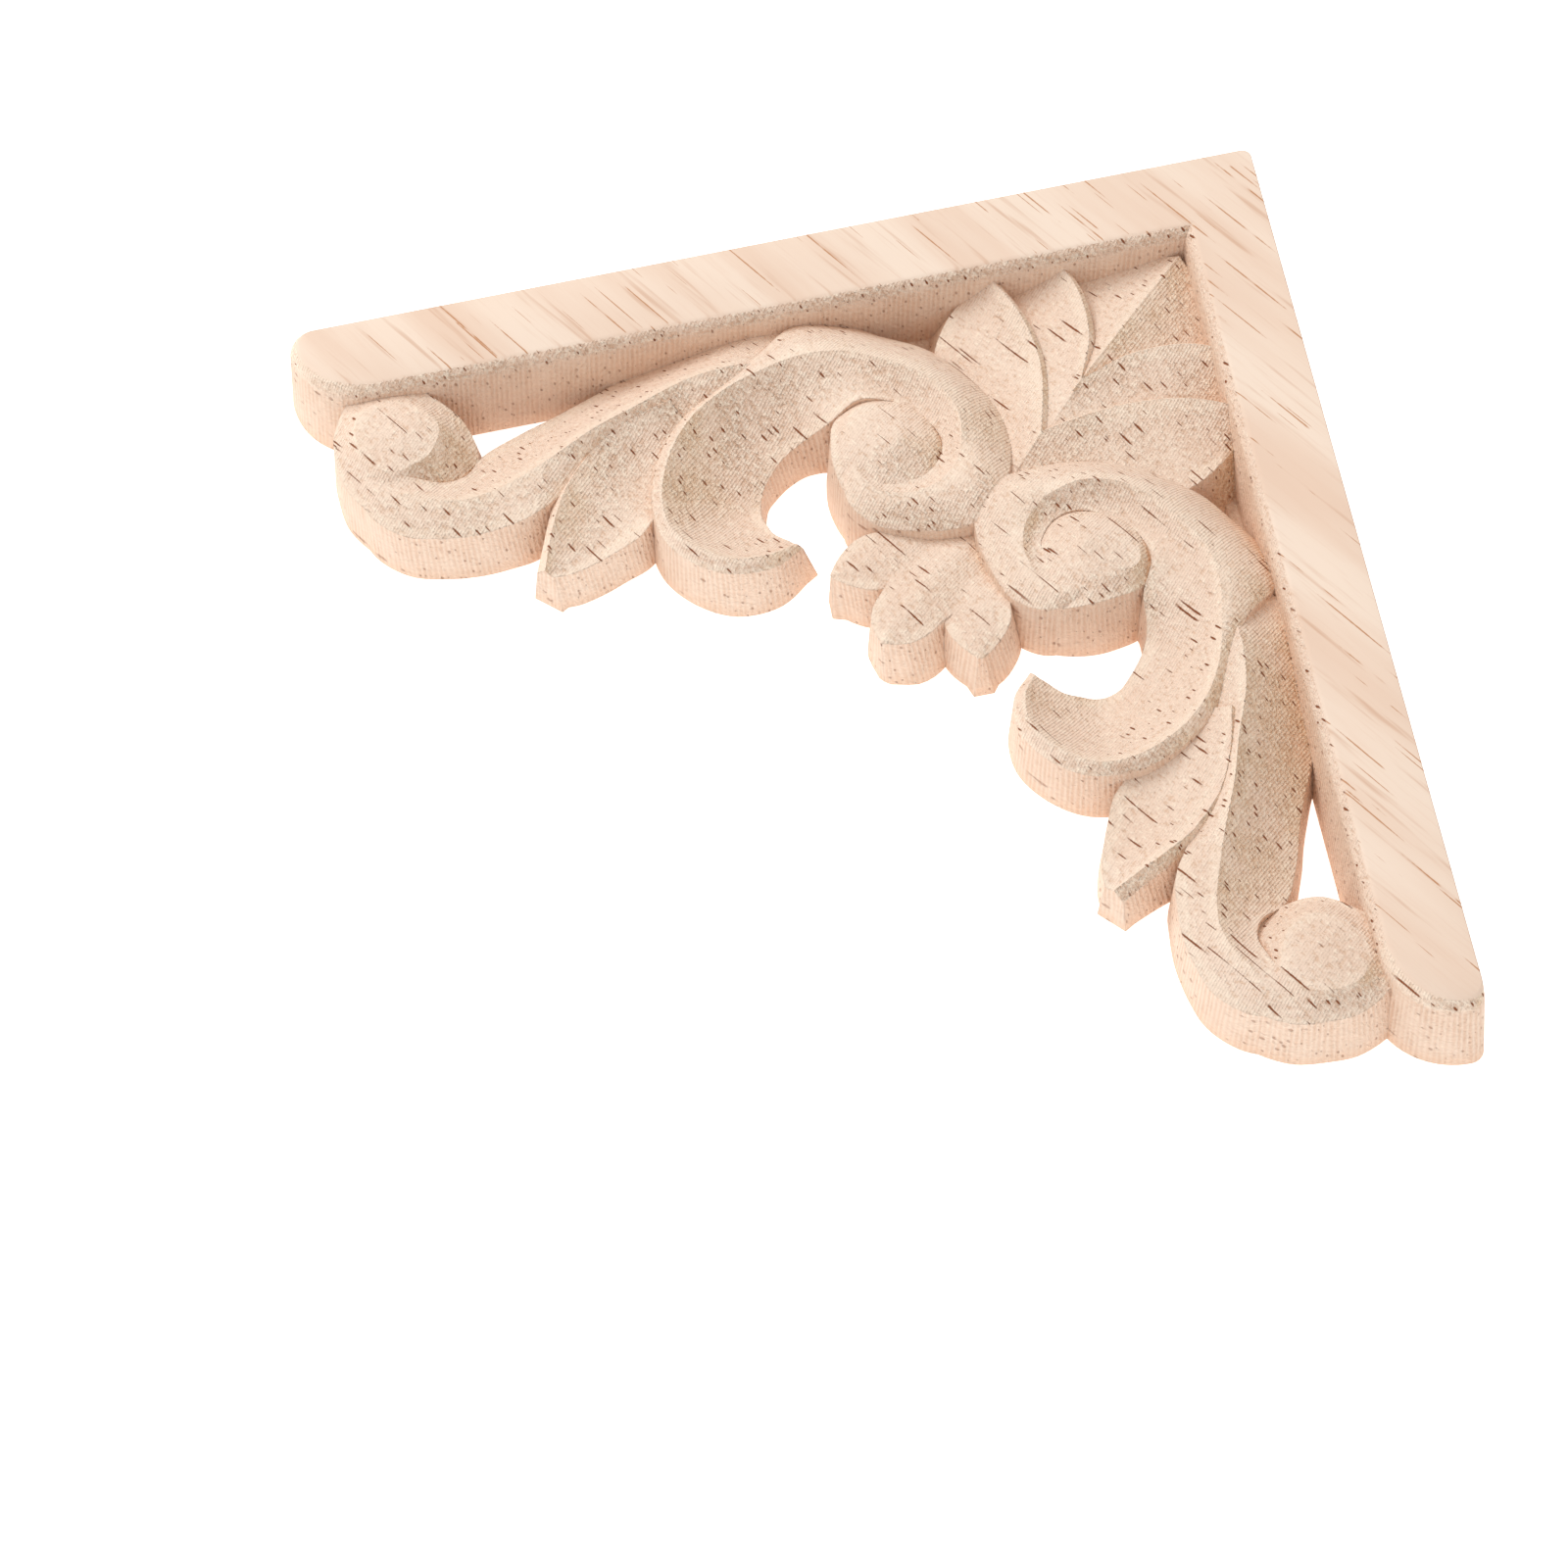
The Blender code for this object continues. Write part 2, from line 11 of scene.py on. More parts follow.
import bmesh
import bpy
import numpy as np
from mathutils import Matrix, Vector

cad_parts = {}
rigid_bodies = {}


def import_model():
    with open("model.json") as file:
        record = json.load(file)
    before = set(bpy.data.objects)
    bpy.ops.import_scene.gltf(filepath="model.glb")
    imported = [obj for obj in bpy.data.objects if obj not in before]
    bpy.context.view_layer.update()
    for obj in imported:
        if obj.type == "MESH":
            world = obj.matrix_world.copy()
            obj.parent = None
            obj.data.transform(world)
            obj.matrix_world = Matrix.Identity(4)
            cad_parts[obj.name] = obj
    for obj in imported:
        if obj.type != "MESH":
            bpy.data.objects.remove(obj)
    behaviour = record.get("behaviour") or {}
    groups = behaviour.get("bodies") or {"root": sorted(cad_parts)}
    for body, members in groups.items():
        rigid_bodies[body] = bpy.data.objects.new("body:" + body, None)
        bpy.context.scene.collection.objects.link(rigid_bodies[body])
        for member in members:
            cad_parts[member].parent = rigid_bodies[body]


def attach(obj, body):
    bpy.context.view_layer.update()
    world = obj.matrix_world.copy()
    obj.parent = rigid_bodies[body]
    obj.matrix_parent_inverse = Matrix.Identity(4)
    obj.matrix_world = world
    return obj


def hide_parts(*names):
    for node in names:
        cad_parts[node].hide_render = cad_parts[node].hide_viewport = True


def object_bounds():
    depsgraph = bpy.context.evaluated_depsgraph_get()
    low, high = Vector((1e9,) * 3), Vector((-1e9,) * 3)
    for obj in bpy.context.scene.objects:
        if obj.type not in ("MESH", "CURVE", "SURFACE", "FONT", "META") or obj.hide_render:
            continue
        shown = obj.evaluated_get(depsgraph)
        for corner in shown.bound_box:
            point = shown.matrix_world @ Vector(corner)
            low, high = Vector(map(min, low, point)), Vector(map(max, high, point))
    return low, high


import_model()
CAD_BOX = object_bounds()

bl_info = {
    "name": "Wooden corner onlay",
    "version": (1, 0, 0),
    "blender": (4, 5, 0),
    "location": "3D View > Sidebar > Onlay",
    "description": "Builds a carved wooden corner onlay and a plain stage round it",
    "category": "Object",
}

NODE = "corner_onlay"
MM = 0.001

# End volute: the flat eye, as its edge and the foot of its slope, round the point EYE
END_EYE = (90.0, 13.6, 8.9)
END_EYE_EDGE = [
    (94.8, 13.6, 8.6), (94.0, 16.0, 8.4), (92.0, 17.6, 8.3), (89.7, 17.2, 8.2), (88.0, 16.4, 8.2),
    (87.0, 15.2, 8.3), (86.4, 13.7, 8.3), (86.8, 12.2, 8.4), (88.0, 10.7, 8.5), (90.2, 9.4, 8.5),
    (92.8, 9.6, 8.6), (94.5, 11.2, 8.6),
]
END_EYE_FOOT = [
    (97.2, 14.3, 7.0), (96.6, 18.0, 6.9), (93.6, 21.5, 6.8), (89.2, 19.3, 6.2), (86.0, 19.4, 5.2),
    (83.7, 17.4, 4.2), (83.1, 14.6, 5.0), (83.9, 12.2, 6.5), (85.7, 10.0, 7.4), (89.2, 7.2, 7.9),
    (94.2, 7.2, 7.7), (97.0, 11.2, 7.1),
]

# The band that runs round the end volute and on as the stem, up to the C-scroll
BAND_INNER = [
    (94.0, 15.6, 8.1), (91.7, 17.6, 8.1), (89.4, 18.4, 7.4), (86.8, 18.9, 6.5), (84.5, 17.9, 5.6),
    (82.9, 15.4, 4.3), (78.5, 13.2, 3.9), (75.0, 12.1, 4.0), (71.3, 10.7, 4.0), (67.0, 8.9, 3.7),
    (61.0, 8.3, 4.9), (55.0, 8.0, 6.2), (49.6, 8.4, 6.3),
]
BAND_RIDGE = [
    (95.2, 16.4, 7.6), (93.2, 19.3, 7.7), (90.5, 20.4, 7.9), (88.0, 21.6, 7.9), (85.4, 22.2, 7.8),
    (82.8, 21.9, 7.7), (78.6, 20.6, 7.9), (75.2, 19.3, 8.4), (71.2, 17.6, 9.0), (66.6, 16.1, 9.3),
    (60.9, 14.1, 9.3), (56.0, 13.5, 9.2), (51.0, 13.8, 8.2),
]
BAND_OUTER = [
    (96.2, 17.0, 6.8), (94.6, 21.6, 6.7), (91.9, 24.2, 6.5), (88.7, 25.3, 6.5), (85.0, 25.8, 6.5),
    (81.8, 25.6, 6.7), (78.4, 24.8, 6.9), (74.8, 22.5, 6.6), (70.9, 19.6, 6.8), (66.0, 17.8, 7.4),
    (60.6, 17.2, 7.4), (56.0, 17.2, 7.4), (50.5, 17.6, 6.5),
]

# The leaf under the stem, from its tip
LEAF_RIM = [
    (78.6, 31.0, 5.7), (77.7, 28.6, 6.6), (76.7, 26.2, 7.1), (75.2, 23.2, 7.3), (73.2, 20.7, 7.5),
    (70.6, 18.6, 7.9), (67.0, 17.0, 8.7), (63.0, 16.0, 9.0),
]
LEAF_LOWER = [
    (77.8, 31.7, 5.3), (75.9, 31.6, 5.2), (73.6, 31.0, 5.2), (71.1, 30.0, 5.2), (68.4, 28.8, 5.5),
    (66.0, 26.0, 5.8), (64.0, 22.0, 6.4), (61.5, 18.5, 7.2),
]

# The C-scroll from its tip, its rim going on round the inner volute
SCROLL_OUTER = [
    (53.0, 33.9, 5.3), (56.1, 36.1, 6.3), (59.9, 36.4, 6.8), (63.8, 34.3, 6.8), (66.3, 31.0, 6.8),
    (66.9, 26.7, 6.8), (65.7, 22.1, 7.0), (62.7, 17.8, 7.4), (58.4, 15.0, 7.8), (53.6, 12.5, 8.6),
    (49.0, 8.2, 6.5), (44.4, 8.4, 5.0), (40.2, 10.6, 4.6), (36.3, 13.4, 5.0), (32.7, 18.6, 5.8),
    (30.5, 24.4, 6.0), (30.9, 29.2, 6.9), (32.4, 33.4, 8.2), (34.6, 35.6, 7.6), (37.6, 36.0, 6.8),
    (41.4, 35.4, 6.7), (45.4, 34.0, 7.0), (47.8, 30.8, 7.6), (47.6, 27.4, 8.1),
]
SCROLL_RIM = [
    (53.6, 33.5, 5.7), (56.2, 34.9, 7.0), (59.5, 35.2, 7.7), (63.0, 33.2, 7.7), (65.3, 30.4, 7.7),
    (65.8, 26.8, 7.7), (64.6, 22.6, 8.0), (61.8, 18.6, 8.4), (57.9, 16.1, 8.9), (53.5, 14.8, 9.4),
    (49.0, 14.1, 9.7), (44.9, 14.6, 9.6), (41.3, 16.5, 9.7), (38.2, 18.8, 9.8), (35.9, 21.8, 9.8),
    (35.1, 25.2, 9.8), (35.4, 27.4, 9.4), (36.0, 29.0, 9.1), (37.0, 30.3, 8.9), (38.6, 31.4, 8.7),
    (41.2, 31.9, 8.5), (44.2, 31.0, 8.5), (46.0, 28.8, 8.7), (46.2, 26.6, 8.8),
]
SCROLL_INNER = [
    (54.1, 32.8, 5.2), (55.5, 31.2, 4.6), (56.0, 29.6, 4.0), (56.3, 28.2, 3.5), (56.2, 27.0, 3.2),
    (55.8, 25.6, 3.4), (54.9, 24.4, 4.0), (53.4, 23.0, 4.7), (51.6, 22.0, 5.2), (49.8, 21.6, 6.2),
    (47.8, 21.4, 7.6), (44.6, 19.9, 8.4), (41.6, 20.5, 8.1), (39.6, 21.7, 8.0), (38.1, 23.9, 8.0),
    (37.3, 26.0, 8.0), (37.5, 27.4, 8.0), (38.1, 28.5, 8.0), (38.9, 29.3, 8.0), (40.0, 30.0, 8.0),
    (41.4, 30.2, 8.1), (43.2, 29.4, 8.3), (44.4, 28.0, 8.6), (44.6, 26.4, 8.8),
]

# Inner volute: the domed eye, as the edge of the dome and the foot of its skirt
INNER_EYE = (41.6, 26.1, 9.6)
INNER_EYE_EDGE = [
    (45.4, 26.4, 9.2), (44.6, 28.0, 9.0), (43.4, 29.2, 8.7), (41.6, 29.6, 8.4), (39.8, 29.2, 8.2),
    (38.4, 28.0, 8.2), (37.8, 26.2, 8.2), (38.4, 23.8, 8.2), (40.1, 21.7, 8.3), (43.0, 20.9, 8.6),
    (45.4, 21.6, 8.9), (46.2, 24.0, 9.1),
]
INNER_EYE_FOOT = [
    (48.4, 27.0, 8.2), (47.8, 30.0, 7.5), (46.0, 33.0, 6.8), (42.4, 34.4, 6.4), (39.0, 33.0, 6.4),
    (36.8, 30.2, 6.6), (36.2, 26.0, 6.6), (37.0, 22.6, 6.6), (39.0, 19.8, 6.6), (43.0, 18.6, 6.8),
    (47.4, 21.6, 7.8), (48.2, 24.2, 8.3),
]

# The palmette. Each leaf rises towards the middle to a ridge, then drops to the next.
OUTER_LEAF_RIDGE = [
    (28.8, 8.0, 8.0), (27.2, 11.3, 7.8), (26.3, 14.0, 7.5), (25.8, 17.0, 7.2), (25.9, 20.5, 7.3),
    (26.6, 24.2, 7.6), (27.4, 27.4, 7.8), (28.0, 30.0, 7.9),
]
OUTER_LEAF_EDGE = [
    (31.8, 8.4, 5.4), (33.8, 10.6, 5.5), (35.5, 13.4, 5.4), (36.2, 16.4, 5.4), (35.2, 19.6, 5.6),
    (33.4, 23.4, 5.8), (32.6, 27.4, 6.0), (32.4, 31.8, 6.6),
]
# The outer leaf's wall spreads out into the corner of the opening, which the cutter left round.
OUTER_LEAF_BASE = [
    (36.4, 8.4, -0.5), (36.7, 11.0, -0.5), (36.7, 14.2, -0.5), (37.0, 17.0, -0.5), (36.0, 20.1, -0.5),
    (34.2, 23.9, -0.5), (33.4, 27.4, -0.5), (33.2, 31.8, -0.5),
]
# The narrow end of that opening, too tight for the cutter, keeps a low web beside the frame bar.
WEB_INNER = [(35.2, 7.9, 1.2), (38.6, 7.9, 1.4), (42.4, 7.9, 1.8)]
WEB_OUTER = [(35.2, 10.6, 1.0), (38.6, 10.5, 1.2), (42.4, 10.4, 1.6)]
SECOND_LEAF_RIDGE = [
    (21.4, 8.0, 7.6), (20.5, 10.6, 7.7), (20.1, 14.0, 7.7), (20.4, 17.4, 7.7), (21.3, 19.9, 7.8),
    (22.2, 22.2, 7.9), (22.9, 24.4, 7.9),
]
SECOND_LEAF_EDGE = [
    (27.6, 8.0, 4.6), (27.6, 11.0, 5.2), (26.8, 14.6, 6.2), (26.6, 18.2, 6.3), (27.0, 22.0, 6.7),
    (28.0, 27.0, 7.2), (28.6, 30.0, 7.4),
]
MIDDLE_LEAF_RIDGE = [
    (9.4, 9.4, 7.2), (12.0, 12.0, 7.4), (14.6, 14.6, 7.6), (17.2, 17.2, 7.7), (20.0, 20.0, 7.8),
    (23.4, 23.4, 7.8),
]
MIDDLE_LEAF_EDGE = [
    (11.4, 8.4, 6.4), (15.4, 8.2, 5.6), (20.6, 8.6, 4.9), (21.0, 13.4, 5.9), (21.3, 17.6, 6.5),
    (23.0, 22.4, 7.4),
]

# The bud: a side lobe and half of the middle lobe
LOBE_UPPER = [
    (40.4, 34.6, 5.0), (44.6, 34.2, 6.0), (47.9, 34.9, 6.4), (49.9, 36.6, 6.4), (50.9, 38.0, 6.3),
]
LOBE_RIDGE = [
    (40.4, 37.2, 5.4), (44.6, 37.4, 6.4), (47.9, 37.9, 6.7), (49.7, 38.2, 6.6), (51.0, 38.3, 6.4),
]
LOBE_LOWER = [
    (40.4, 40.4, 5.8), (44.4, 40.8, 6.3), (47.2, 40.9, 6.4), (49.3, 39.9, 6.4), (50.9, 38.6, 6.3),
]
BUD_EDGE = [
    (40.0, 32.0, 4.0), (43.6, 36.0, 5.4), (46.0, 41.0, 6.6), (47.6, 43.2, 6.9), (48.1, 45.4, 7.0),
    (47.7, 47.2, 7.1),
]
BUD_RIDGE = [
    (34.0, 34.0, 4.4), (38.6, 38.6, 6.0), (43.2, 43.2, 7.2), (45.0, 45.0, 7.3), (46.6, 46.6, 7.3),
    (47.6, 47.6, 7.2),
]

# The low ground under the palmette and between the volutes, along the diagonal
CORE_MIDDLE = [
    (13.0, 13.0, 4.8), (22.0, 22.0, 6.0), (28.0, 28.0, 6.6), (32.0, 32.0, 6.2), (37.0, 37.0, 4.4),
]
CORE_EDGE = [
    (17.0, 10.0, 4.4), (27.0, 17.0, 5.2), (31.0, 23.0, 5.4), (36.0, 27.0, 5.2), (41.0, 33.0, 4.0),
]

# How many stations each curve is cut into
BAND_STEPS = 110
SCROLL_STEPS = 150
LEAF_STEPS = 44
EYE_STEPS = 72
LOBE_STEPS = 22
WEB_STEPS = 5
# Rings between a boss's centre and its edge
BOSS_RINGS = 6
# Points round each kind of corner of the frame bar
APEX_STEPS = 11
CORNER_STEPS = 12
END_STEPS = 28
# The elements reach this far below the back before they are cut flat.
BELOW = 1.0
# The block that cuts them flat: its reach as a share of the arm, and how far down it goes
CUTTER_REACH = 1.5
CUTTER_DEPTH = 5.0
# How deep the end volute's eye sinks, as a share of its slope's width
EYE_HOLLOW = 0.06
# Rails on the far side of the diagonal: how far they lie from it, and how far they drop
PAST_REACH = 2.5
LEAF_DROP = 1.0
BUD_DROP = 0.4
# The frame bar's rolled inner edge, from the wall up: shares of its width and of its depth
ROLL = ((0.82, 0.56), (0.58, 0.28), (0.29, 0.09))
# The mirror cuts and joins only what lies on the diagonal to within this many metres.
MIRROR_GAP = 1e-6
# The half's diagonal points up the Y axis, so this turn brings the arms along -X and -Y.
TURN = math.radians(135)
# The map that tells the wood how far a point lies along its wall, and how high
WALL_RUN = "wall_run"
# Where two faces meet at more than this, the edge stays sharp.
SHARP_ANGLE = math.radians(26)

# The camera, worked out from the onlay's own right angle, equal arms and straight lower edges
CAMERA_TARGET = (-0.00904, -0.00643, 0.0)
CAMERA_AZIMUTH = -2.6507
CAMERA_ELEVATION = 60.4258
CAMERA_ROLL = -8.8146
CAMERA_DISTANCE = 0.51762
CAMERA_LENS = 121.137
SENSOR = 36.0

# The stage: the floor's reach and its gap below the back, and each light's place, size and tint
FLOOR_REACH = 6.0
FLOOR_GAP = 0.0002
KEY_LIGHT = ((-0.25, 0.38, 0.47), 0.37, (1.0, 0.99, 0.97))
FILL_LIGHT = ((-0.5, -0.8, 0.7), 0.9, (1.0, 0.98, 0.96))

# How often the wood's patterns repeat in a metre: along the grain, across it and through the board
BANDS = (14.0, 150.0, 110.0)
STREAKS = (60.0, 1300.0, 900.0)
FIBRES = (160.0, 3600.0, 2600.0)
CRUMBS = (1500.0, 2700.0, 2300.0)
TORN_PATCHES = (150.0, 330.0, 330.0)
# How strong the finer detail of the crumbs is
CRUMB_ROUGHNESS = 0.65
# How often the grooves' places and depths change: in a millimetre along the wall, in a metre up it
GROOVE_DRIFTS = (0.9, 90.0)
GROOVE_PATCHES = (0.35, 160.0)
# How far a groove strays from its even place, in radians of a pitch
GROOVE_DRIFT = 5.0
# How often a pore breaks off in a metre, and how far its own two draws shift the breaks
PORE_BREAKS = (230.0, 40.0, 40.0)
# A pore's width as a share of its depth through the board
PORE_FLATNESS = 0.45
# How much the crumbs fray a pore's edge, and how much more of a pore is open in the planed face
PORE_RAGGEDNESS = 0.8
PLANED_PORE_GAIN = 0.07
# The planed face ends between these depths below the bar's top.
PLANED_START = 0.10 * MM
PLANED_END = 0.25 * MM

# Ramps from a noise, a slope or a height to a share: the low and the high limit, and the share at each
WALL_SLOPE = (0.18, 0.42, 1.0, 0.0)
BAND_SHARE = (0.36, 0.68, 0.0, 0.85)
STREAK_SHARE = (0.56, 0.76, 0.0, 0.40)
# The carved wood's tone, with more of it on steeper slopes as painted shade
CUT_AND_SLOPE_SHADE_SHARE = (0.90, 0.99, 0.85, 0.5)
FIBRE_SHARE = (0.50, 0.80, 0.0, 0.30)
PALE_CRUMB_SHARE = (0.54, 0.70, 0.0, 0.55)
DARK_CRUMB_SHARE = (0.45, 0.32, 0.0, 0.58)
# Painted highlight along the crests, from the pointiness
PAINTED_CREST_HIGHLIGHT_SHARE = (0.505, 0.535, 0.0, 0.30)
TORN_FACING = (-0.10, 0.55, 0.0, 1.0)
TORN_PATCH_SHARE = (0.28, 0.66, 0.30, 1.0)
TORN_TIPS = (0.42, 0.62, 0.0, 1.0)
GOLD_FACING = (0.08, 0.40, 0.0, 1.0)
TORN_SHARE = (0.0, 1.0, 0.45, 0.80)
GROOVE_PATCH_SHARE = (0.30, 0.65, 0.35, 1.0)
# Painted glow: orange bounced light on the walls' foot, fading out over this height
PAINTED_FOOT_GLOW_SHARE = (0.0, 2.2 * MM, 0.35, 0.0)
PORE_WIDTHS = (0.0, 1.0, 0.05, 0.16)
PLANED_PORE_WIDTH = (0.0, 1.0, 1.0, 0.85)
PORE_OPENING = (0.43, 0.52, 0.0, 1.0)
PORE_EDGE = (1.0, 1.5, 1.0, 0.0)
OPEN_PORE_SHARE = (0.0, 1.0, 0.95, 0.45)
# Painted shade in the hollows: its share from the occlusion, then its share off and on the walls
PAINTED_SHADE_SHARE = (0.05, 0.62, 0.85, 0.0)
PAINTED_SHADE_ON_WALLS = (0.0, 1.0, 1.0, 0.35)
PASS_SHARE = (0.90, 0.99, 1.0, 0.4)
# Shares of a colour that don't change from place to place
GOLD_SHARE = 0.50
WALL_SHARE = 0.75
PLANED_PORE_SHARE = 0.85

# The wood's relief, in millimetres
PASS_HEIGHT = 0.030
GROOVE_DEPTH = 0.06
TORN_HEIGHT = 0.35
CRUMB_HEIGHT = 0.28
FIBRE_HEIGHT = 0.05
PLANED_FIBRE_HEIGHT = 0.012
PORE_DEPTH = 0.10
# Edges are softened to this radius, and the painted shade in the hollows looks for wood around them as far
# as this.
EDGE_RADIUS = 0.22 * MM
PAINTED_SHADE_REACH = 6.0 * MM
SOFT_SAMPLES = 4
# Directions: up, across the diagonal that the cutter's passes run along, and the golden slopes' way
UPWARD = (0.0, 0.0, 1.0)
PASS_WAY = (0.7071, -0.7071, 0.0)
GOLD_WAY = (1.0, 0.0, 0.0)

# The Mix node's two colour inputs and its colour output, and how nodes are laid out in the editor
MIX_COLOURS = (6, 7)
MIX_RESULT = 2
NODE_COLUMNS = 9
NODE_WIDTH = 220
NODE_HEIGHT = 160


class OnlaySizes(bpy.types.PropertyGroup):
    """Sizes of the board and of its carving."""

    arm_length: bpy.props.FloatProperty(
        name="Arm length", description="From the outer corner to an arm's end",
        default=CAD_BOX[1].x - CAD_BOX[0].x, unit="LENGTH", subtype="DISTANCE")
    thickness: bpy.props.FloatProperty(
        name="Thickness", description="From the flat back to the frame bar's top",
        default=CAD_BOX[1].z - CAD_BOX[0].z, unit="LENGTH", subtype="DISTANCE")
    flat_width: bpy.props.FloatProperty(
        name="Bar width", description="Width of the frame bar's flat top",
        default=0.0074, unit="LENGTH", subtype="DISTANCE")
    chamfer_width: bpy.props.FloatProperty(
        name="Chamfer width", description="Width of the sloped edge inside the frame bar",
        default=0.0012, unit="LENGTH", subtype="DISTANCE")
    chamfer_depth: bpy.props.FloatProperty(
        name="Chamfer depth", description="Depth of the sloped edge inside the frame bar",
        default=0.0016, unit="LENGTH", subtype="DISTANCE")
    end_round: bpy.props.FloatProperty(
        name="End rounding", description="Radius of the arm's rounded end, on its inner side",
        default=0.008, unit="LENGTH", subtype="DISTANCE")
    end_corner: bpy.props.FloatProperty(
        name="End corner", description="Radius of the arm's rounded end, on its outer side",
        default=0.0015, unit="LENGTH", subtype="DISTANCE")
    apex_radius: bpy.props.FloatProperty(
        name="Outer corner", description="Radius of the outer corner",
        default=0.001, unit="LENGTH", subtype="DISTANCE")
    flank_width: bpy.props.FloatProperty(
        name="Flank width", description="Width of the narrow flank outside a leaf's rim",
        default=0.0011, unit="LENGTH", subtype="DISTANCE")
    flank_drop: bpy.props.FloatProperty(
        name="Flank drop", description="How far that flank falls",
        default=0.0012, unit="LENGTH", subtype="DISTANCE")
    draft: bpy.props.FloatProperty(
        name="Wall lean", description="How far a wall leans out for each unit of its height",
        default=0.12)
    hollow: bpy.props.FloatProperty(
        name="Hollow", description="How deep a leaf sinks, as a share of its width",
        default=0.10, subtype="FACTOR")
    swell: bpy.props.FloatProperty(
        name="Swell", description="How high the scroll's outer side swells, as a share of its width",
        default=0.10, subtype="FACTOR")
    step_reach: bpy.props.FloatProperty(
        name="Step reach", description="Width of the rounded top of a step in the palmette",
        default=0.0005, unit="LENGTH", subtype="DISTANCE")
    step_drop: bpy.props.FloatProperty(
        name="Step drop", description="Depth of the rounded top of a step in the palmette",
        default=0.0006, unit="LENGTH", subtype="DISTANCE")


class OnlayFinish(bpy.types.PropertyGroup):
    """Colours and marks of the wood."""

    wood: bpy.props.FloatVectorProperty(
        name="Wood", description="The pale wood where it is only planed",
        default=(0.86, 0.70, 0.575), size=3, subtype="COLOR", min=0, max=1)
    band: bpy.props.FloatVectorProperty(
        name="Grain bands", description="The pinker bands along the grain",
        default=(0.77, 0.56, 0.43), size=3, subtype="COLOR", min=0, max=1)
    streak: bpy.props.FloatVectorProperty(
        name="Streaks", description="Thin orange streaks along the grain, and pores in the planed face",
        default=(0.50, 0.22, 0.09), size=3, subtype="COLOR", min=0, max=1)
    # Partly the carved wood's own tone, partly painted shade: steeper carved slopes take more of this
    # colour
    cut: bpy.props.FloatVectorProperty(
        name="Carved wood", description="The wood where the cutter has been",
        default=(0.875, 0.67, 0.535), size=3, subtype="COLOR", min=0, max=1)
    pore: bpy.props.FloatVectorProperty(
        name="Pores", description="The brown of the open pores",
        default=(0.26, 0.065, 0.012), size=3, subtype="COLOR", min=0, max=1)
    torn_dark: bpy.props.FloatVectorProperty(
        name="Torn fibres, dark", description="Brown ground between torn fibres and crumbs",
        default=(0.66, 0.42, 0.275), size=3, subtype="COLOR", min=0, max=1)
    # Also the colour of the painted highlight along the crests
    torn_light: bpy.props.FloatVectorProperty(
        name="Torn fibres, light", description="Pale tips of torn fibres, pale crumbs and crests",
        default=(1.0, 0.85, 0.685), size=3, subtype="COLOR", min=0, max=1)
    torn_gold: bpy.props.FloatVectorProperty(
        name="Torn fibres, gold", description="The gold of the torn slopes that face +X",
        default=(0.86, 0.62, 0.40), size=3, subtype="COLOR", min=0, max=1)
    # Painted shade: a warm tint multiplied into the wood where the hollows are occluded, standing in for
    # light bounced off the wood around them
    hollow: bpy.props.FloatVectorProperty(
        name="Hollows", description="The tint of the wood in its deep hollows",
        default=(1.0, 0.84, 0.68), size=3, subtype="COLOR", min=0, max=1)
    wall: bpy.props.FloatVectorProperty(
        name="Wall ridges", description="The ridges on the cut walls",
        default=(0.84, 0.645, 0.51), size=3, subtype="COLOR", min=0, max=1)
    # Painted shade: darker wood in the grooves between the wall ridges
    painted_groove_shade: bpy.props.FloatVectorProperty(
        name="Between ridges", description="The warmer wood in the grooves between them",
        default=(0.73, 0.49, 0.35), size=3, subtype="COLOR", min=0, max=1)
    # Painted glow: the orange of light bounced up from the floor onto the walls' foot, painted into their
    # colour
    foot: bpy.props.FloatVectorProperty(
        name="Foot of the walls", description="The warm foot of the cut walls",
        default=(0.86, 0.56, 0.38), size=3, subtype="COLOR", min=0, max=1)
    grain_angle: bpy.props.FloatProperty(
        name="Grain direction", description="Turn of the grain from +X about +Z",
        default=math.radians(-57), unit="ROTATION", subtype="ANGLE")
    grain_tilt: bpy.props.FloatProperty(
        name="Grain tilt", description="How steeply the grain rises through the board",
        default=math.radians(2.2), unit="ROTATION", subtype="ANGLE")
    pore_spacing: bpy.props.FloatProperty(
        name="Pore spacing", description="Mean distance between pores, across the grain",
        default=0.0007, unit="LENGTH", subtype="DISTANCE")
    tool_pitch: bpy.props.FloatProperty(
        name="Tool pitch", description="Distance between the cutter's passes on the slopes",
        default=0.00030, unit="LENGTH", subtype="DISTANCE")
    ridge_pitch: bpy.props.FloatProperty(
        name="Ridge pitch", description="Mean distance between the ridges on the walls",
        default=0.00052, unit="LENGTH", subtype="DISTANCE")


class OnlayStage(bpy.types.PropertyGroup):
    """The plain floor and the soft light."""

    floor: bpy.props.FloatVectorProperty(
        name="Floor", description="Colour of the plain floor",
        default=(0.93, 0.93, 0.93), size=3, subtype="COLOR", min=0, max=1)
    floor_glow: bpy.props.FloatProperty(
        name="Floor glow", description="Strength of the light from below through the white floor",
        default=0.75)
    sky_strength: bpy.props.FloatProperty(
        name="Surround", description="Strength of the white surround", default=0.76)
    key_power: bpy.props.FloatProperty(
        name="Key light", description="Power of the soft light from the back left",
        default=2.1, unit="POWER")
    fill_power: bpy.props.FloatProperty(
        name="Fill light", description="Power of the soft light from the front left",
        default=0.8, unit="POWER")


def place(point):
    """A point (a, b, h) in millimetres as the half's own x, y, z in metres, with the diagonal on x = 0."""
    a, b, h = point
    return ((a - b) / math.sqrt(2) * MM, (a + b) / math.sqrt(2) * MM, h * MM)


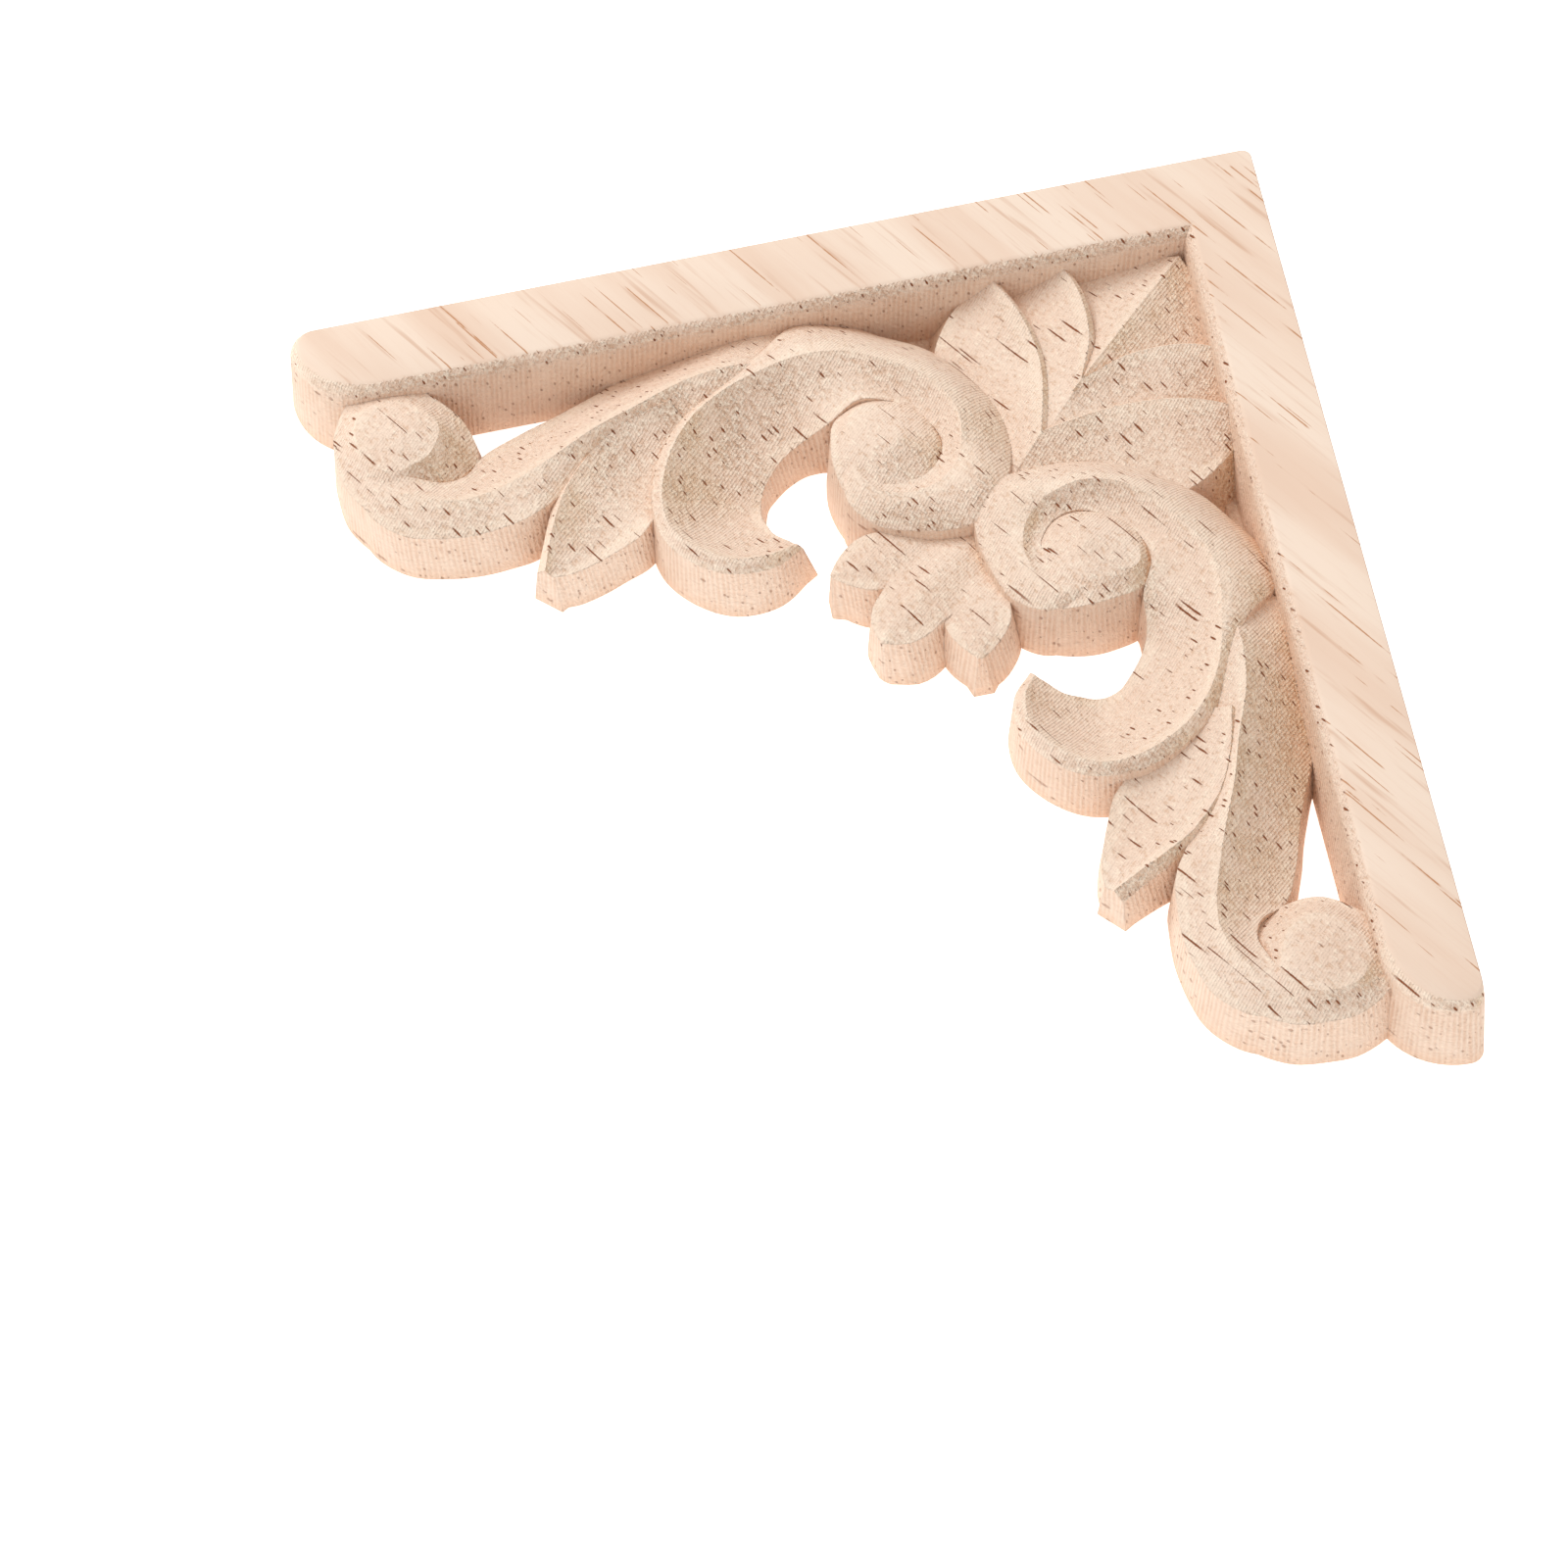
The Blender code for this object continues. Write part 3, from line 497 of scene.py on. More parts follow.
def smooth(rail, knots, at):
    """Points on a smooth curve through the rail, at the given places along it."""
    slopes = np.gradient(rail, knots, axis=0)
    left = np.clip(np.searchsorted(knots, at, side="right") - 1, 0, len(knots) - 2)
    width = (knots[left + 1] - knots[left])[:, None]
    t = (at - knots[left])[:, None] / width
    return (
        (2 * t**3 - 3 * t**2 + 1) * rail[left]
        + (t**3 - 2 * t**2 + t) * width * slopes[left]
        + (3 * t**2 - 2 * t**3) * rail[left + 1]
        + (t**3 - t**2) * width * slopes[left + 1]
    )


def resample(rails, steps, closed=False):
    """Every rail at the same places, spaced by the mean length of the rails."""
    rails = [np.array(rail, float) for rail in rails]
    wrap = 3
    if closed:
        rails = [np.vstack([rail[-wrap:], rail, rail[: wrap + 1]]) for rail in rails]
    mean = sum(rails) / len(rails)
    knots = np.append(0, np.cumsum(np.linalg.norm(np.diff(mean, axis=0), axis=1)))
    if closed:
        at = np.linspace(knots[wrap], knots[-wrap - 1], steps + 1)[:-1]
    else:
        at = np.linspace(knots[0], knots[-1], steps)
    return [smooth(rail, knots, at) for rail in rails]


def between(near, far, steps, hollow):
    """Rows of points from one rail to the next, sinking by a share of the distance between them."""
    span = np.linalg.norm((far - near)[:, :2], axis=1)
    rows = []
    for step in range(1, steps):
        t = step / steps
        row = near * (1 - t) + far * t
        row[:, 2] -= 4 * t * (1 - t) * hollow * span
        rows.append(row)
    return rows


def wall_foot(edge, inside, draft):
    """The foot of the leaning wall that drops from an edge to below the back."""
    away = (edge - inside)[:, :2]
    away /= np.linalg.norm(away, axis=1)[:, None]
    drop = edge[:, 2:] + BELOW
    return np.hstack([edge[:, :2] + away * draft * drop, np.full_like(drop, -BELOW)])


def lean_ends(rows, draft):
    """Moves the feet at both end caps outwards, so that the caps lean as the walls do."""
    ridge = rows[len(rows) // 2]
    for end, inside in ((0, 1), (-1, -2)):
        onward = (ridge[end] - ridge[inside])[:2]
        onward /= np.linalg.norm(onward)
        for foot, edge in ((rows[0], rows[1]), (rows[-1], rows[-2])):
            foot[end, :2] += onward * draft * (edge[end, 2] + BELOW)


def run_along(rail, closed=False):
    """How far each point of a rail lies along it, in millimetres, with the way back to its start."""
    rail = np.array(rail, float)[:, :2]
    if closed:
        rail = np.vstack([rail, rail[:1]])
    return np.append(0, np.cumsum(np.linalg.norm(np.diff(rail, axis=0), axis=1)))


def make_object(name, points, faces, runs, collection):
    """A mesh object from points in millimetres, with its faces turned outwards.

    runs holds, for each corner of each face, how far it lies along the wall that it belongs to.
    """
    mesh = bpy.data.meshes.new(name)
    mesh.from_pydata([place(point) for point in points], [], faces)
    layer = mesh.uv_layers.new(name=WALL_RUN)
    heights = [points[corner][2] for face in faces for corner in face]
    lengths = [run for face in runs for run in face]
    layer.uv.foreach_set("vector", np.column_stack([lengths, heights]).astype(np.float32).ravel())
    shape = bmesh.new()
    shape.from_mesh(mesh)
    bmesh.ops.recalc_face_normals(shape, faces=shape.faces)
    shape.to_mesh(mesh)
    shape.free()
    made = bpy.data.objects.new(name, mesh)
    collection.objects.link(made)
    return made


def skin_rows(curves, across):
    """The skin's rows, from the first rail to the last."""
    rows = [curves[0]]
    for near, far, (count, hollow) in zip(curves, curves[1:], across):
        rows += between(near, far, count, hollow)
        rows.append(far)
    return rows


def carve_strip(name, rails, steps, across, sizes, collection):
    """A raised strip over its rails: skin, leaning walls, a flat bottom and an end cap each way.

    across holds, for each gap between two rails, the number of steps in it and its hollow.
    """
    curves = resample(rails, steps)
    rows = [wall_foot(curves[0], curves[1], sizes.draft)]
    rows += skin_rows(curves, across)
    rows.append(wall_foot(curves[-1], curves[-2], sizes.draft))
    lean_ends(rows, sizes.draft)
    wide = len(rows)
    points = [row[station] for station in range(steps) for row in rows]
    first, last = run_along(curves[0]), run_along(curves[-1])
    run = [first if row < wide / 2 else last for row in range(wide)]
    faces = []
    runs = []
    for station in range(steps - 1):
        here = station * wide
        for row in range(wide):
            after = (row + 1) % wide
            faces.append((here + row, here + after, here + wide + after, here + wide + row))
            near, far = run[row], run[after]
            runs.append((near[station], far[station], far[station + 1], near[station + 1]))
    for start in (0, (steps - 1) * wide):
        faces.append(tuple(range(start, start + wide)))
        runs.append(tuple(run_along(points[start:start + wide])))
    make_object(name, points, faces, runs, collection)


def carve_boss(name, centre, rails, steps, across, sizes, collection):
    """A raised boss: rings round a centre, a leaning wall and a flat bottom."""
    curves = resample(rails, steps, closed=True)
    middle = np.tile(np.array(centre, float), (steps, 1))
    rows = between(middle, curves[0], BOSS_RINGS, 0)
    rows += skin_rows(curves, across)
    rows.append(wall_foot(curves[-1], curves[-2], sizes.draft))
    points = [centre] + [row[ray] for row in rows for ray in range(steps)]
    run = run_along(curves[-1], closed=True)
    faces = []
    runs = []
    for ray in range(steps):
        after = (ray + 1) % steps
        faces.append((0, 1 + ray, 1 + after))
        runs.append((0.0, 0.0, 0.0))
        for ring in range(len(rows) - 1):
            inner = 1 + ring * steps
            outer = inner + steps
            faces.append((inner + ray, outer + ray, outer + after, inner + after))
            runs.append((run[ray], run[ray], run[ray + 1], run[ray + 1]))
    last = 1 + (len(rows) - 1) * steps
    faces.append(tuple(range(last, last + steps)))
    runs.append((0.0,) * steps)
    make_object(name, points, faces, runs, collection)


def quarter(centre, radii, start, steps):
    """A quarter turn of an ellipse, anticlockwise in (a, b)."""
    turns = np.linspace(start, start + math.pi / 2, steps + 1)
    return list(zip(centre[0] + radii[0] * np.cos(turns), centre[1] + radii[1] * np.sin(turns)))


def bar_outline(width, reach, sizes):
    """The frame bar's outline for one level: past the diagonal, round the corner, out to the arm's end."""
    corner = sizes.end_corner / MM
    apex = sizes.apex_radius / MM
    round_end = sizes.end_round / MM
    past = 2 * sizes.flat_width / MM
    outline = [(0.0, past)]
    outline += quarter((apex, apex), (apex, apex), math.pi, APEX_STEPS)
    outline += quarter((reach - corner, corner), (corner, corner), -math.pi / 2, CORNER_STEPS)
    outline += quarter((reach - round_end, corner), (round_end, width - corner), 0, END_STEPS)[1:]
    outline += [(width, width), (width, past)]
    return outline


def build_bar(sizes, collection):
    """The frame bar with its rolled inner edge and rounded end, as the half's base shape."""
    thickness = sizes.thickness / MM
    roll_width = sizes.chamfer_width / MM
    roll_depth = sizes.chamfer_depth / MM
    wall_top = thickness - roll_depth
    flat = sizes.flat_width / MM
    lean = sizes.draft * wall_top
    low = BELOW * sizes.draft
    inner = sizes.arm_length / MM - lean - roll_width
    levels = [
        (-BELOW, bar_outline(flat + roll_width + lean + low, inner + roll_width + lean + low, sizes)),
        (wall_top, bar_outline(flat + roll_width, inner + roll_width, sizes)),
    ]
    for out, down in ROLL:
        height = thickness - down * roll_depth
        levels.append((height, bar_outline(flat + out * roll_width, inner + out * roll_width, sizes)))
    levels.append((thickness, bar_outline(flat, inner, sizes)))
    count = len(levels[0][1])
    points = [(a, b, h) for h, outline in levels for a, b in outline]
    last = len(levels) - 1
    faces = [tuple(range(count)), tuple(range(last * count, (last + 1) * count))]
    runs = [(0.0,) * count] * 2
    run = run_along(levels[1][1], closed=True)
    for level in range(last):
        for corner in range(count):
            after = (corner + 1) % count
            here = level * count
            faces.append((here + corner, here + after, here + count + after, here + count + corner))
            runs.append((run[corner], run[corner + 1], run[corner + 1], run[corner]))
    return make_object("onlay_half", points, faces, runs, collection)


def flank_of(rim, inside, width, drop):
    """The foot of the narrow flank outside a rim, on the side away from the inside rail."""
    rim = np.array(rim, float)
    away = (rim - np.array(inside, float))[:, :2]
    away /= np.linalg.norm(away, axis=1)[:, None]
    return np.hstack([rim[:, :2] + away * width / MM, rim[:, 2:] - drop / MM])


def past_diagonal(ridge, drop):
    """A rail on the far side of the diagonal, falling from a ridge that lies on it."""
    return [(a - PAST_REACH, b + PAST_REACH, h - drop) for a, b, h in ridge]


def build_elements(sizes, collection):
    """Every element of one arm's carving, each reaching into its neighbours."""
    hollow = sizes.hollow
    shallow = hollow / 2
    leaf_flank = flank_of(LEAF_RIM, LEAF_LOWER, sizes.flank_width, sizes.flank_drop)
    outer_step = flank_of(OUTER_LEAF_RIDGE, OUTER_LEAF_EDGE, sizes.step_reach, sizes.step_drop)
    second_step = flank_of(SECOND_LEAF_RIDGE, SECOND_LEAF_EDGE, sizes.step_reach, sizes.step_drop)
    middle_twin = past_diagonal(MIDDLE_LEAF_RIDGE, LEAF_DROP)
    bud_twin = past_diagonal(BUD_RIDGE, BUD_DROP)
    core_twin = past_diagonal(CORE_MIDDLE, 0.0)
    # Each boss: its centre, its rails, and the steps and the hollow between two rails
    bosses = {
        "end_eye": (END_EYE, [END_EYE_EDGE, END_EYE_FOOT], [(8, EYE_HOLLOW)]),
        "inner_eye": (INNER_EYE, [INNER_EYE_EDGE, INNER_EYE_FOOT], [(5, 0)]),
    }
    for name, (centre, rails, across) in bosses.items():
        carve_boss(name, centre, rails, EYE_STEPS, across, sizes, collection)
    # Each strip: its rails, its number of stations, and the steps and the hollow between two rails
    strips = {
        "stem_band": ([BAND_INNER, BAND_RIDGE, BAND_OUTER], BAND_STEPS, [(6, shallow), (5, 0)]),
        "leaf": ([leaf_flank, LEAF_RIM, LEAF_LOWER], LEAF_STEPS, [(2, 0), (8, hollow)]),
        "c_scroll": (
            [SCROLL_OUTER, SCROLL_RIM, SCROLL_INNER], SCROLL_STEPS, [(6, -sizes.swell), (10, hollow)],
        ),
        "outer_leaf": (
            [outer_step, OUTER_LEAF_RIDGE, OUTER_LEAF_EDGE, OUTER_LEAF_BASE],
            LEAF_STEPS, [(2, 0), (8, shallow), (3, 0)],
        ),
        "second_leaf": (
            [second_step, SECOND_LEAF_RIDGE, SECOND_LEAF_EDGE], LEAF_STEPS, [(2, 0), (8, shallow)],
        ),
        "middle_leaf": (
            [middle_twin, MIDDLE_LEAF_RIDGE, MIDDLE_LEAF_EDGE], LEAF_STEPS, [(2, 0), (8, shallow)],
        ),
        "web": ([WEB_INNER, WEB_OUTER], WEB_STEPS, [(2, 0)]),
        "core": ([core_twin, CORE_MIDDLE, CORE_EDGE], LOBE_STEPS, [(2, 0), (4, 0)]),
        "side_lobe": ([LOBE_UPPER, LOBE_RIDGE, LOBE_LOWER], LOBE_STEPS, [(4, 0), (4, 0)]),
        "middle_lobe": ([bud_twin, BUD_RIDGE, BUD_EDGE], LOBE_STEPS, [(2, 0), (5, 0)]),
    }
    for name, (rails, steps, across) in strips.items():
        carve_strip(name, rails, steps, across, sizes, collection)


def build_back_cutter(sizes, collection):
    """The block that cuts the back flat."""
    reach = CUTTER_REACH * sizes.arm_length / MM
    square = [(-reach, -reach), (reach, -reach), (reach, reach), (-reach, reach)]
    points = [(a, b, h) for h in (-CUTTER_DEPTH, 0.0) for a, b in square]
    faces = [(0, 1, 2, 3), (4, 5, 6, 7), (0, 1, 5, 4), (1, 2, 6, 5), (2, 3, 7, 6), (3, 0, 4, 7)]
    runs = [(0.0,) * len(face) for face in faces]
    return make_object("back_cutter", points, faces, runs, collection)


def join_elements(half, elements, back):
    """The finished mesh: the elements joined to the bar, the back cut flat, and the other arm added."""
    union = half.modifiers.new("carving", "BOOLEAN")
    union.operation = "UNION"
    union.operand_type = "COLLECTION"
    union.collection = elements
    union.solver = "EXACT"
    union.use_self = True
    flat = half.modifiers.new("flat_back", "BOOLEAN")
    flat.operation = "DIFFERENCE"
    flat.object = back
    flat.solver = "EXACT"
    mirror = half.modifiers.new("other_arm", "MIRROR")
    mirror.use_axis = (True, False, False)
    mirror.use_bisect_axis = (True, False, False)
    mirror.bisect_threshold = MIRROR_GAP
    mirror.merge_threshold = MIRROR_GAP
    half.modifiers.new("triangles", "TRIANGULATE")
    bpy.context.view_layer.update()
    graph = bpy.context.evaluated_depsgraph_get()
    return bpy.data.meshes.new_from_object(half.evaluated_get(graph), depsgraph=graph)


def to_row_frame(mesh, sizes):
    """Turns the mesh so that the arms run along -X and -Y, with the middle of its box on the origin."""
    middle = sizes.arm_length / 2
    mesh.transform(Matrix.Translation((middle, middle, 0)) @ Matrix.Rotation(TURN, 4, "Z"))


class NodeMaker:
    """Adds shader nodes to a tree, each with its inputs given by name or number."""

    def __init__(self, tree):
        self.tree = tree
        self.count = 0

    def add(self, kind, values=None, **settings):
        """One node with its settings, its inputs fed from values or from other nodes' outputs."""
        node = self.tree.nodes.new(kind)
        self.count += 1
        row, column = divmod(self.count, NODE_COLUMNS)
        node.location = (-NODE_WIDTH * column, -NODE_HEIGHT * row)
        for key, value in settings.items():
            setattr(node, key, value)
        for key, value in (values or {}).items():
            socket = node.inputs[key]
            if isinstance(value, bpy.types.NodeSocket):
                self.tree.links.new(value, socket)
            else:
                socket.default_value = value
        return node

    def maths(self, operation, first, second=0.0, third=0.0):
        """A sum on numbers."""
        return self.add("ShaderNodeMath", {0: first, 1: second, 2: third}, operation=operation).outputs[0]

    def product(self, first, *others):
        """Two or more numbers multiplied."""
        for other in others:
            first = self.maths("MULTIPLY", first, other)
        return first

    def inverse(self, value):
        """One less the value."""
        return self.maths("SUBTRACT", 1.0, value)

    def dot(self, vector, direction):
        """The part of a vector along a direction."""
        node = self.add("ShaderNodeVectorMath", {0: vector, 1: direction}, operation="DOT_PRODUCT")
        return node.outputs["Value"]

    def ramp(self, value, low, high, at_low=0.0, at_high=1.0):
        """A smooth step as the value goes from low to high."""
        values = {"Value": value, 1: low, 2: high, 3: at_low, 4: at_high}
        return self.add("ShaderNodeMapRange", values, interpolation_type="SMOOTHSTEP").outputs[0]

    def scaled(self, values, scales):
        """A vector of two or three numbers, each with its own scale."""
        parts = [self.product(value, scale) for value, scale in zip(values, scales)]
        return self.add("ShaderNodeCombineXYZ", dict(enumerate(parts))).outputs[0]

    def noise(self, vector, detail, rough=0.5):
        """Soft random values between 0 and 1."""
        values = {"Vector": vector, "Scale": 1.0, "Detail": detail, "Roughness": rough}
        return self.add("ShaderNodeTexNoise", values).outputs[0]

    def mix(self, factor, first, second, blend="MIX"):
        """A mix of two colours, each one a node's output or a plain colour."""
        values = {0: factor}
        for key, colour in zip(MIX_COLOURS, (first, second)):
            values[key] = colour if isinstance(colour, bpy.types.NodeSocket) else (*colour, 1.0)
        node = self.add("ShaderNodeMix", values, data_type="RGBA", blend_type=blend)
        return node.outputs[MIX_RESULT]


class PaleWood(NodeMaker):
    """The nodes of the pale wood: where each kind of surface lies, then its colours and its relief."""

    def __init__(self, tree, finish, thickness):
        super().__init__(tree)
        self.finish = finish
        self.point = self.add("ShaderNodeTexCoord").outputs["Object"]
        geometry = self.add("ShaderNodeNewGeometry")
        self.normal = geometry.outputs["Normal"]
        self.crest = geometry.outputs["Pointiness"]
        turn = finish.grain_angle
        tilt = finish.grain_tilt
        grain = (math.cos(turn) * math.cos(tilt), math.sin(turn) * math.cos(tilt), math.sin(tilt))
        side = (-math.sin(turn), math.cos(turn), 0.0)
        depth = (-math.cos(turn) * math.sin(tilt), -math.sin(turn) * math.sin(tilt), math.cos(tilt))
        self.along = self.dot(self.point, grain)
        self.across = self.dot(self.point, side)
        self.deep = self.dot(self.point, depth)
        self.height = self.dot(self.point, UPWARD)
        self.up = self.dot(self.normal, UPWARD)
        self.planed = self.ramp(self.height, thickness - PLANED_END, thickness - PLANED_START)
        self.wall = self.ramp(self.up, *WALL_SLOPE)
        self.rough = self.inverse(self.planed)
        self.carved = self.product(self.rough, self.inverse(self.wall))
        self.fine = self.pattern(FIBRES, 2.0)
        self.crumb = self.pattern(CRUMBS, 2.0, CRUMB_ROUGHNESS)
        self.torn = self.torn_places((math.cos(turn), math.sin(turn), 0.0))
        self.groove = self.wall_grooves()
        self.pore = self.pore_places()

    def pattern(self, scales, detail, rough=0.5):
        """Soft random values, drawn out along the grain."""
        return self.noise(self.scaled((self.along, self.across, self.deep), scales), detail, rough)

    def torn_places(self, down_grain):
        """Where the fibres are torn: in patches, on carved faces that face down the grain."""
        facing = self.ramp(self.dot(self.normal, down_grain), *TORN_FACING)
        patch = self.ramp(self.pattern(TORN_PATCHES, 2.0), *TORN_PATCH_SHARE)
        return self.product(facing, patch, self.carved)

    def wall_grooves(self):
        """The upright grooves between the ridges that the cutter left, unevenly far apart and deep."""
        run = self.add("ShaderNodeUVMap", uv_map=WALL_RUN).outputs[0]
        run = self.add("ShaderNodeSeparateXYZ", {0: run}).outputs[0]
        place = (run, self.height)
        drift = self.noise(self.scaled(place, GROOVE_DRIFTS), 1.0)
        turns = self.product(run, 2 * math.pi / (self.finish.ridge_pitch / MM))
        phase = self.maths("MULTIPLY_ADD", drift, GROOVE_DRIFT, turns)
        grooves = self.maths("MULTIPLY_ADD", self.maths("SINE", phase), 0.5, 0.5)
        patch = self.ramp(self.noise(self.scaled(place, GROOVE_PATCHES), 1.0), *GROOVE_PATCH_SHARE)
        return self.product(grooves, patch)

    def pore_places(self):
        """Pores: flat tubes along the grain, so long dashes on the flats and short ones on the slopes."""
        spacing = self.finish.pore_spacing
        section = self.scaled((self.across, self.deep), (1.0 / spacing, PORE_FLATNESS / spacing))
        values = {"Vector": section, "Scale": 1.0}
        cells = self.add("ShaderNodeTexVoronoi", values, voronoi_dimensions="2D").outputs
        draws = self.add("ShaderNodeSeparateColor", {"Color": cells["Color"]}).outputs
        width = self.ramp(draws[2], *PORE_WIDTHS)
        width = self.product(width, self.ramp(self.planed, *PLANED_PORE_WIDTH))
        edge = self.maths("DIVIDE", cells["Distance"], width)
        edge = self.maths("MULTIPLY_ADD", self.crumb, PORE_RAGGEDNESS, edge)
        breaks = self.noise(self.scaled((self.along, draws[0], draws[1]), PORE_BREAKS), 0.0)
        breaks = self.maths("MULTIPLY_ADD", self.planed, PLANED_PORE_GAIN, breaks)
        return self.product(self.ramp(edge, *PORE_EDGE), self.ramp(breaks, *PORE_OPENING))

    def grain(self):
        """Broad bands and thin streaks along the grain, warmer wood where it is cut with more of it on
        steeper slopes as painted shade, and fine fibres.
        """
        finish = self.finish
        bands = self.ramp(self.pattern(BANDS, 3.0), *BAND_SHARE)
        colour = self.mix(bands, finish.wood, finish.band)
        streaks = self.ramp(self.pattern(STREAKS, 2.0), *STREAK_SHARE)
        colour = self.mix(streaks, colour, finish.streak)
        # The carved wood's own tone, and painted shade: steeper slopes take more of it
        cut = self.product(self.ramp(self.up, *CUT_AND_SLOPE_SHADE_SHARE), self.carved)
        colour = self.mix(cut, colour, finish.cut)
        return self.mix(self.ramp(self.fine, *FIBRE_SHARE), colour, finish.band)

    def unsanded(self, colour):
        """The grain of pale and dark crumbs on every cut, and a painted highlight along the crests."""
        finish = self.finish
        pale = self.product(self.ramp(self.crumb, *PALE_CRUMB_SHARE), self.rough)
        colour = self.mix(pale, colour, finish.torn_light)
        dark = self.product(self.ramp(self.crumb, *DARK_CRUMB_SHARE), self.rough)
        colour = self.mix(dark, colour, finish.torn_dark)
        # Painted highlight: paler wood along the crests
        crests = self.product(self.ramp(self.crest, *PAINTED_CREST_HIGHLIGHT_SHARE), self.carved)
        return self.mix(crests, colour, finish.torn_light)

    def torn_fibres(self, colour):
        """Torn fibres: pale tips over brown ground, and gold on the slopes that face +X."""
        finish = self.finish
        fibres = self.mix(self.ramp(self.crumb, *TORN_TIPS), finish.torn_dark, finish.torn_light)
        gold = self.ramp(self.dot(self.normal, GOLD_WAY), *GOLD_FACING)
        fibres = self.mix(self.product(gold, GOLD_SHARE), fibres, finish.torn_gold)
        return self.mix(self.product(self.torn, self.ramp(gold, *TORN_SHARE)), colour, fibres)

    def cut_walls(self, colour):
        """Walls: painted shade in the grooves between the ridges, and a painted orange glow of bounced
        light at the foot.
        """
        finish = self.finish
        # Painted shade in the grooves between the ridges
        walls = self.mix(self.groove, finish.wall, finish.painted_groove_shade)
        colour = self.mix(self.product(self.wall, WALL_SHARE), colour, walls)
        # Painted glow of bounced light at the walls' foot
        foot = self.product(self.ramp(self.height, *PAINTED_FOOT_GLOW_SHARE), self.wall)
        return self.mix(foot, colour, finish.foot)

    def dark_pores(self, colour):
        """Pores: orange in the planed face, dark brown in the cut ones and fainter on the walls."""
        finish = self.finish
        colour = self.mix(self.product(self.pore, self.planed, PLANED_PORE_SHARE), colour, finish.streak)
        dark = self.product(self.pore, self.rough, self.ramp(self.wall, *OPEN_PORE_SHARE))
        return self.mix(dark, colour, finish.pore)

    def painted_hollow_shade(self, colour):
        """Painted shade: occluded hollows are tinted warmer and darker, as if the light there had bounced
        off the wood around them.
        """
        shade = self.add("ShaderNodeAmbientOcclusion", {"Distance": PAINTED_SHADE_REACH}, samples=SOFT_SAMPLES)
        # Painted shade: the occlusion tints the hollows warmer and darker, less on the walls
        warm = self.ramp(shade.outputs["AO"], *PAINTED_SHADE_SHARE)
        warm = self.product(warm, self.ramp(self.wall, *PAINTED_SHADE_ON_WALLS))
        return self.mix(warm, colour, self.finish.hollow, "MULTIPLY")

    def relief(self):
        """The normal of softened edges, fine passes of the cutter, grooves, torn fibres and pores."""
        stroke = self.product(self.dot(self.point, PASS_WAY), 2 * math.pi / self.finish.tool_pitch)
        passes = self.product(self.maths("SINE", stroke), self.ramp(self.up, *PASS_SHARE))
        lump = self.maths("SUBTRACT", self.crumb, 0.5)
        thread = self.maths("SUBTRACT", self.fine, 0.5)
        layers = [
            (self.product(passes, self.carved), PASS_HEIGHT),
            (self.product(self.groove, self.wall), -GROOVE_DEPTH),
            (self.product(lump, self.torn), TORN_HEIGHT),
            (self.product(lump, self.rough), CRUMB_HEIGHT),
            (self.product(thread, self.rough), FIBRE_HEIGHT),
            (self.fine, PLANED_FIBRE_HEIGHT),
            (self.product(self.pore, self.rough), -PORE_DEPTH),
        ]
        level = 0.0
        for mask, height in layers:
            level = self.maths("MULTIPLY_ADD", mask, height, level)
        soft = self.add("ShaderNodeBevel", {"Radius": EDGE_RADIUS}, samples=SOFT_SAMPLES).outputs[0]
        values = {"Height": level, "Strength": 1.0, "Distance": MM, "Normal": soft}
        return self.add("ShaderNodeBump", values).outputs["Normal"]


def wood_material(finish, thickness):
    """Pale wood with grain bands, pores that run through the board, torn fibres and cutter marks."""
    material = bpy.data.materials.new("pale_wood")
    material.use_nodes = True
    tree = material.node_tree
    shader = tree.nodes["Principled BSDF"]
    wood = PaleWood(tree, finish, thickness)
    colour = wood.grain()
    for layer in (wood.unsanded, wood.torn_fibres, wood.cut_walls, wood.dark_pores, wood.painted_hollow_shade):
        colour = layer(colour)
    tree.links.new(colour, shader.inputs["Base Color"])
    tree.links.new(wood.relief(), shader.inputs["Normal"])
    shader.inputs["Roughness"].default_value = 0.75
    shader.inputs["Specular IOR Level"].default_value = 0.2
    return material


class ONLAY_OT_build_carving(bpy.types.Operator):
    """Builds the carved board"""

    bl_idname = "onlay.build_carving"
    bl_label = "Carved board"

    def execute(self, context):
        sizes = context.scene.onlay_sizes
        elements = bpy.data.collections.new("elements")
        context.scene.collection.children.link(elements)
        helpers = bpy.data.collections.new("helpers")
        context.scene.collection.children.link(helpers)
        half = build_bar(sizes, helpers)
        build_elements(sizes, elements)
        back = build_back_cutter(sizes, helpers)
        mesh = join_elements(half, elements, back)
        for helper in list(elements.objects) + list(helpers.objects):
            bpy.data.objects.remove(helper)
        bpy.data.collections.remove(elements)
        bpy.data.collections.remove(helpers)
        to_row_frame(mesh, sizes)
        mesh.name = "carved_board"
        mesh.polygons.foreach_set("use_smooth", [True] * len(mesh.polygons))
        mesh.set_sharp_from_angle(angle=SHARP_ANGLE)
        mesh.materials.clear()
        mesh.materials.append(wood_material(context.scene.onlay_finish, sizes.thickness))
        board = bpy.data.objects.new("carved_board", mesh)
        context.scene.collection.objects.link(board)
        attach(board, "root")
        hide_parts(NODE)
        return {"FINISHED"}


def set_pose(thing, right, up, back, spot):
    """Puts a light or a camera at a spot, with its own three axes along the given ones."""
    pose = np.eye(4)
    pose[:3] = np.column_stack([right, up, back, spot])
    thing.matrix_world = Matrix(pose.tolist())


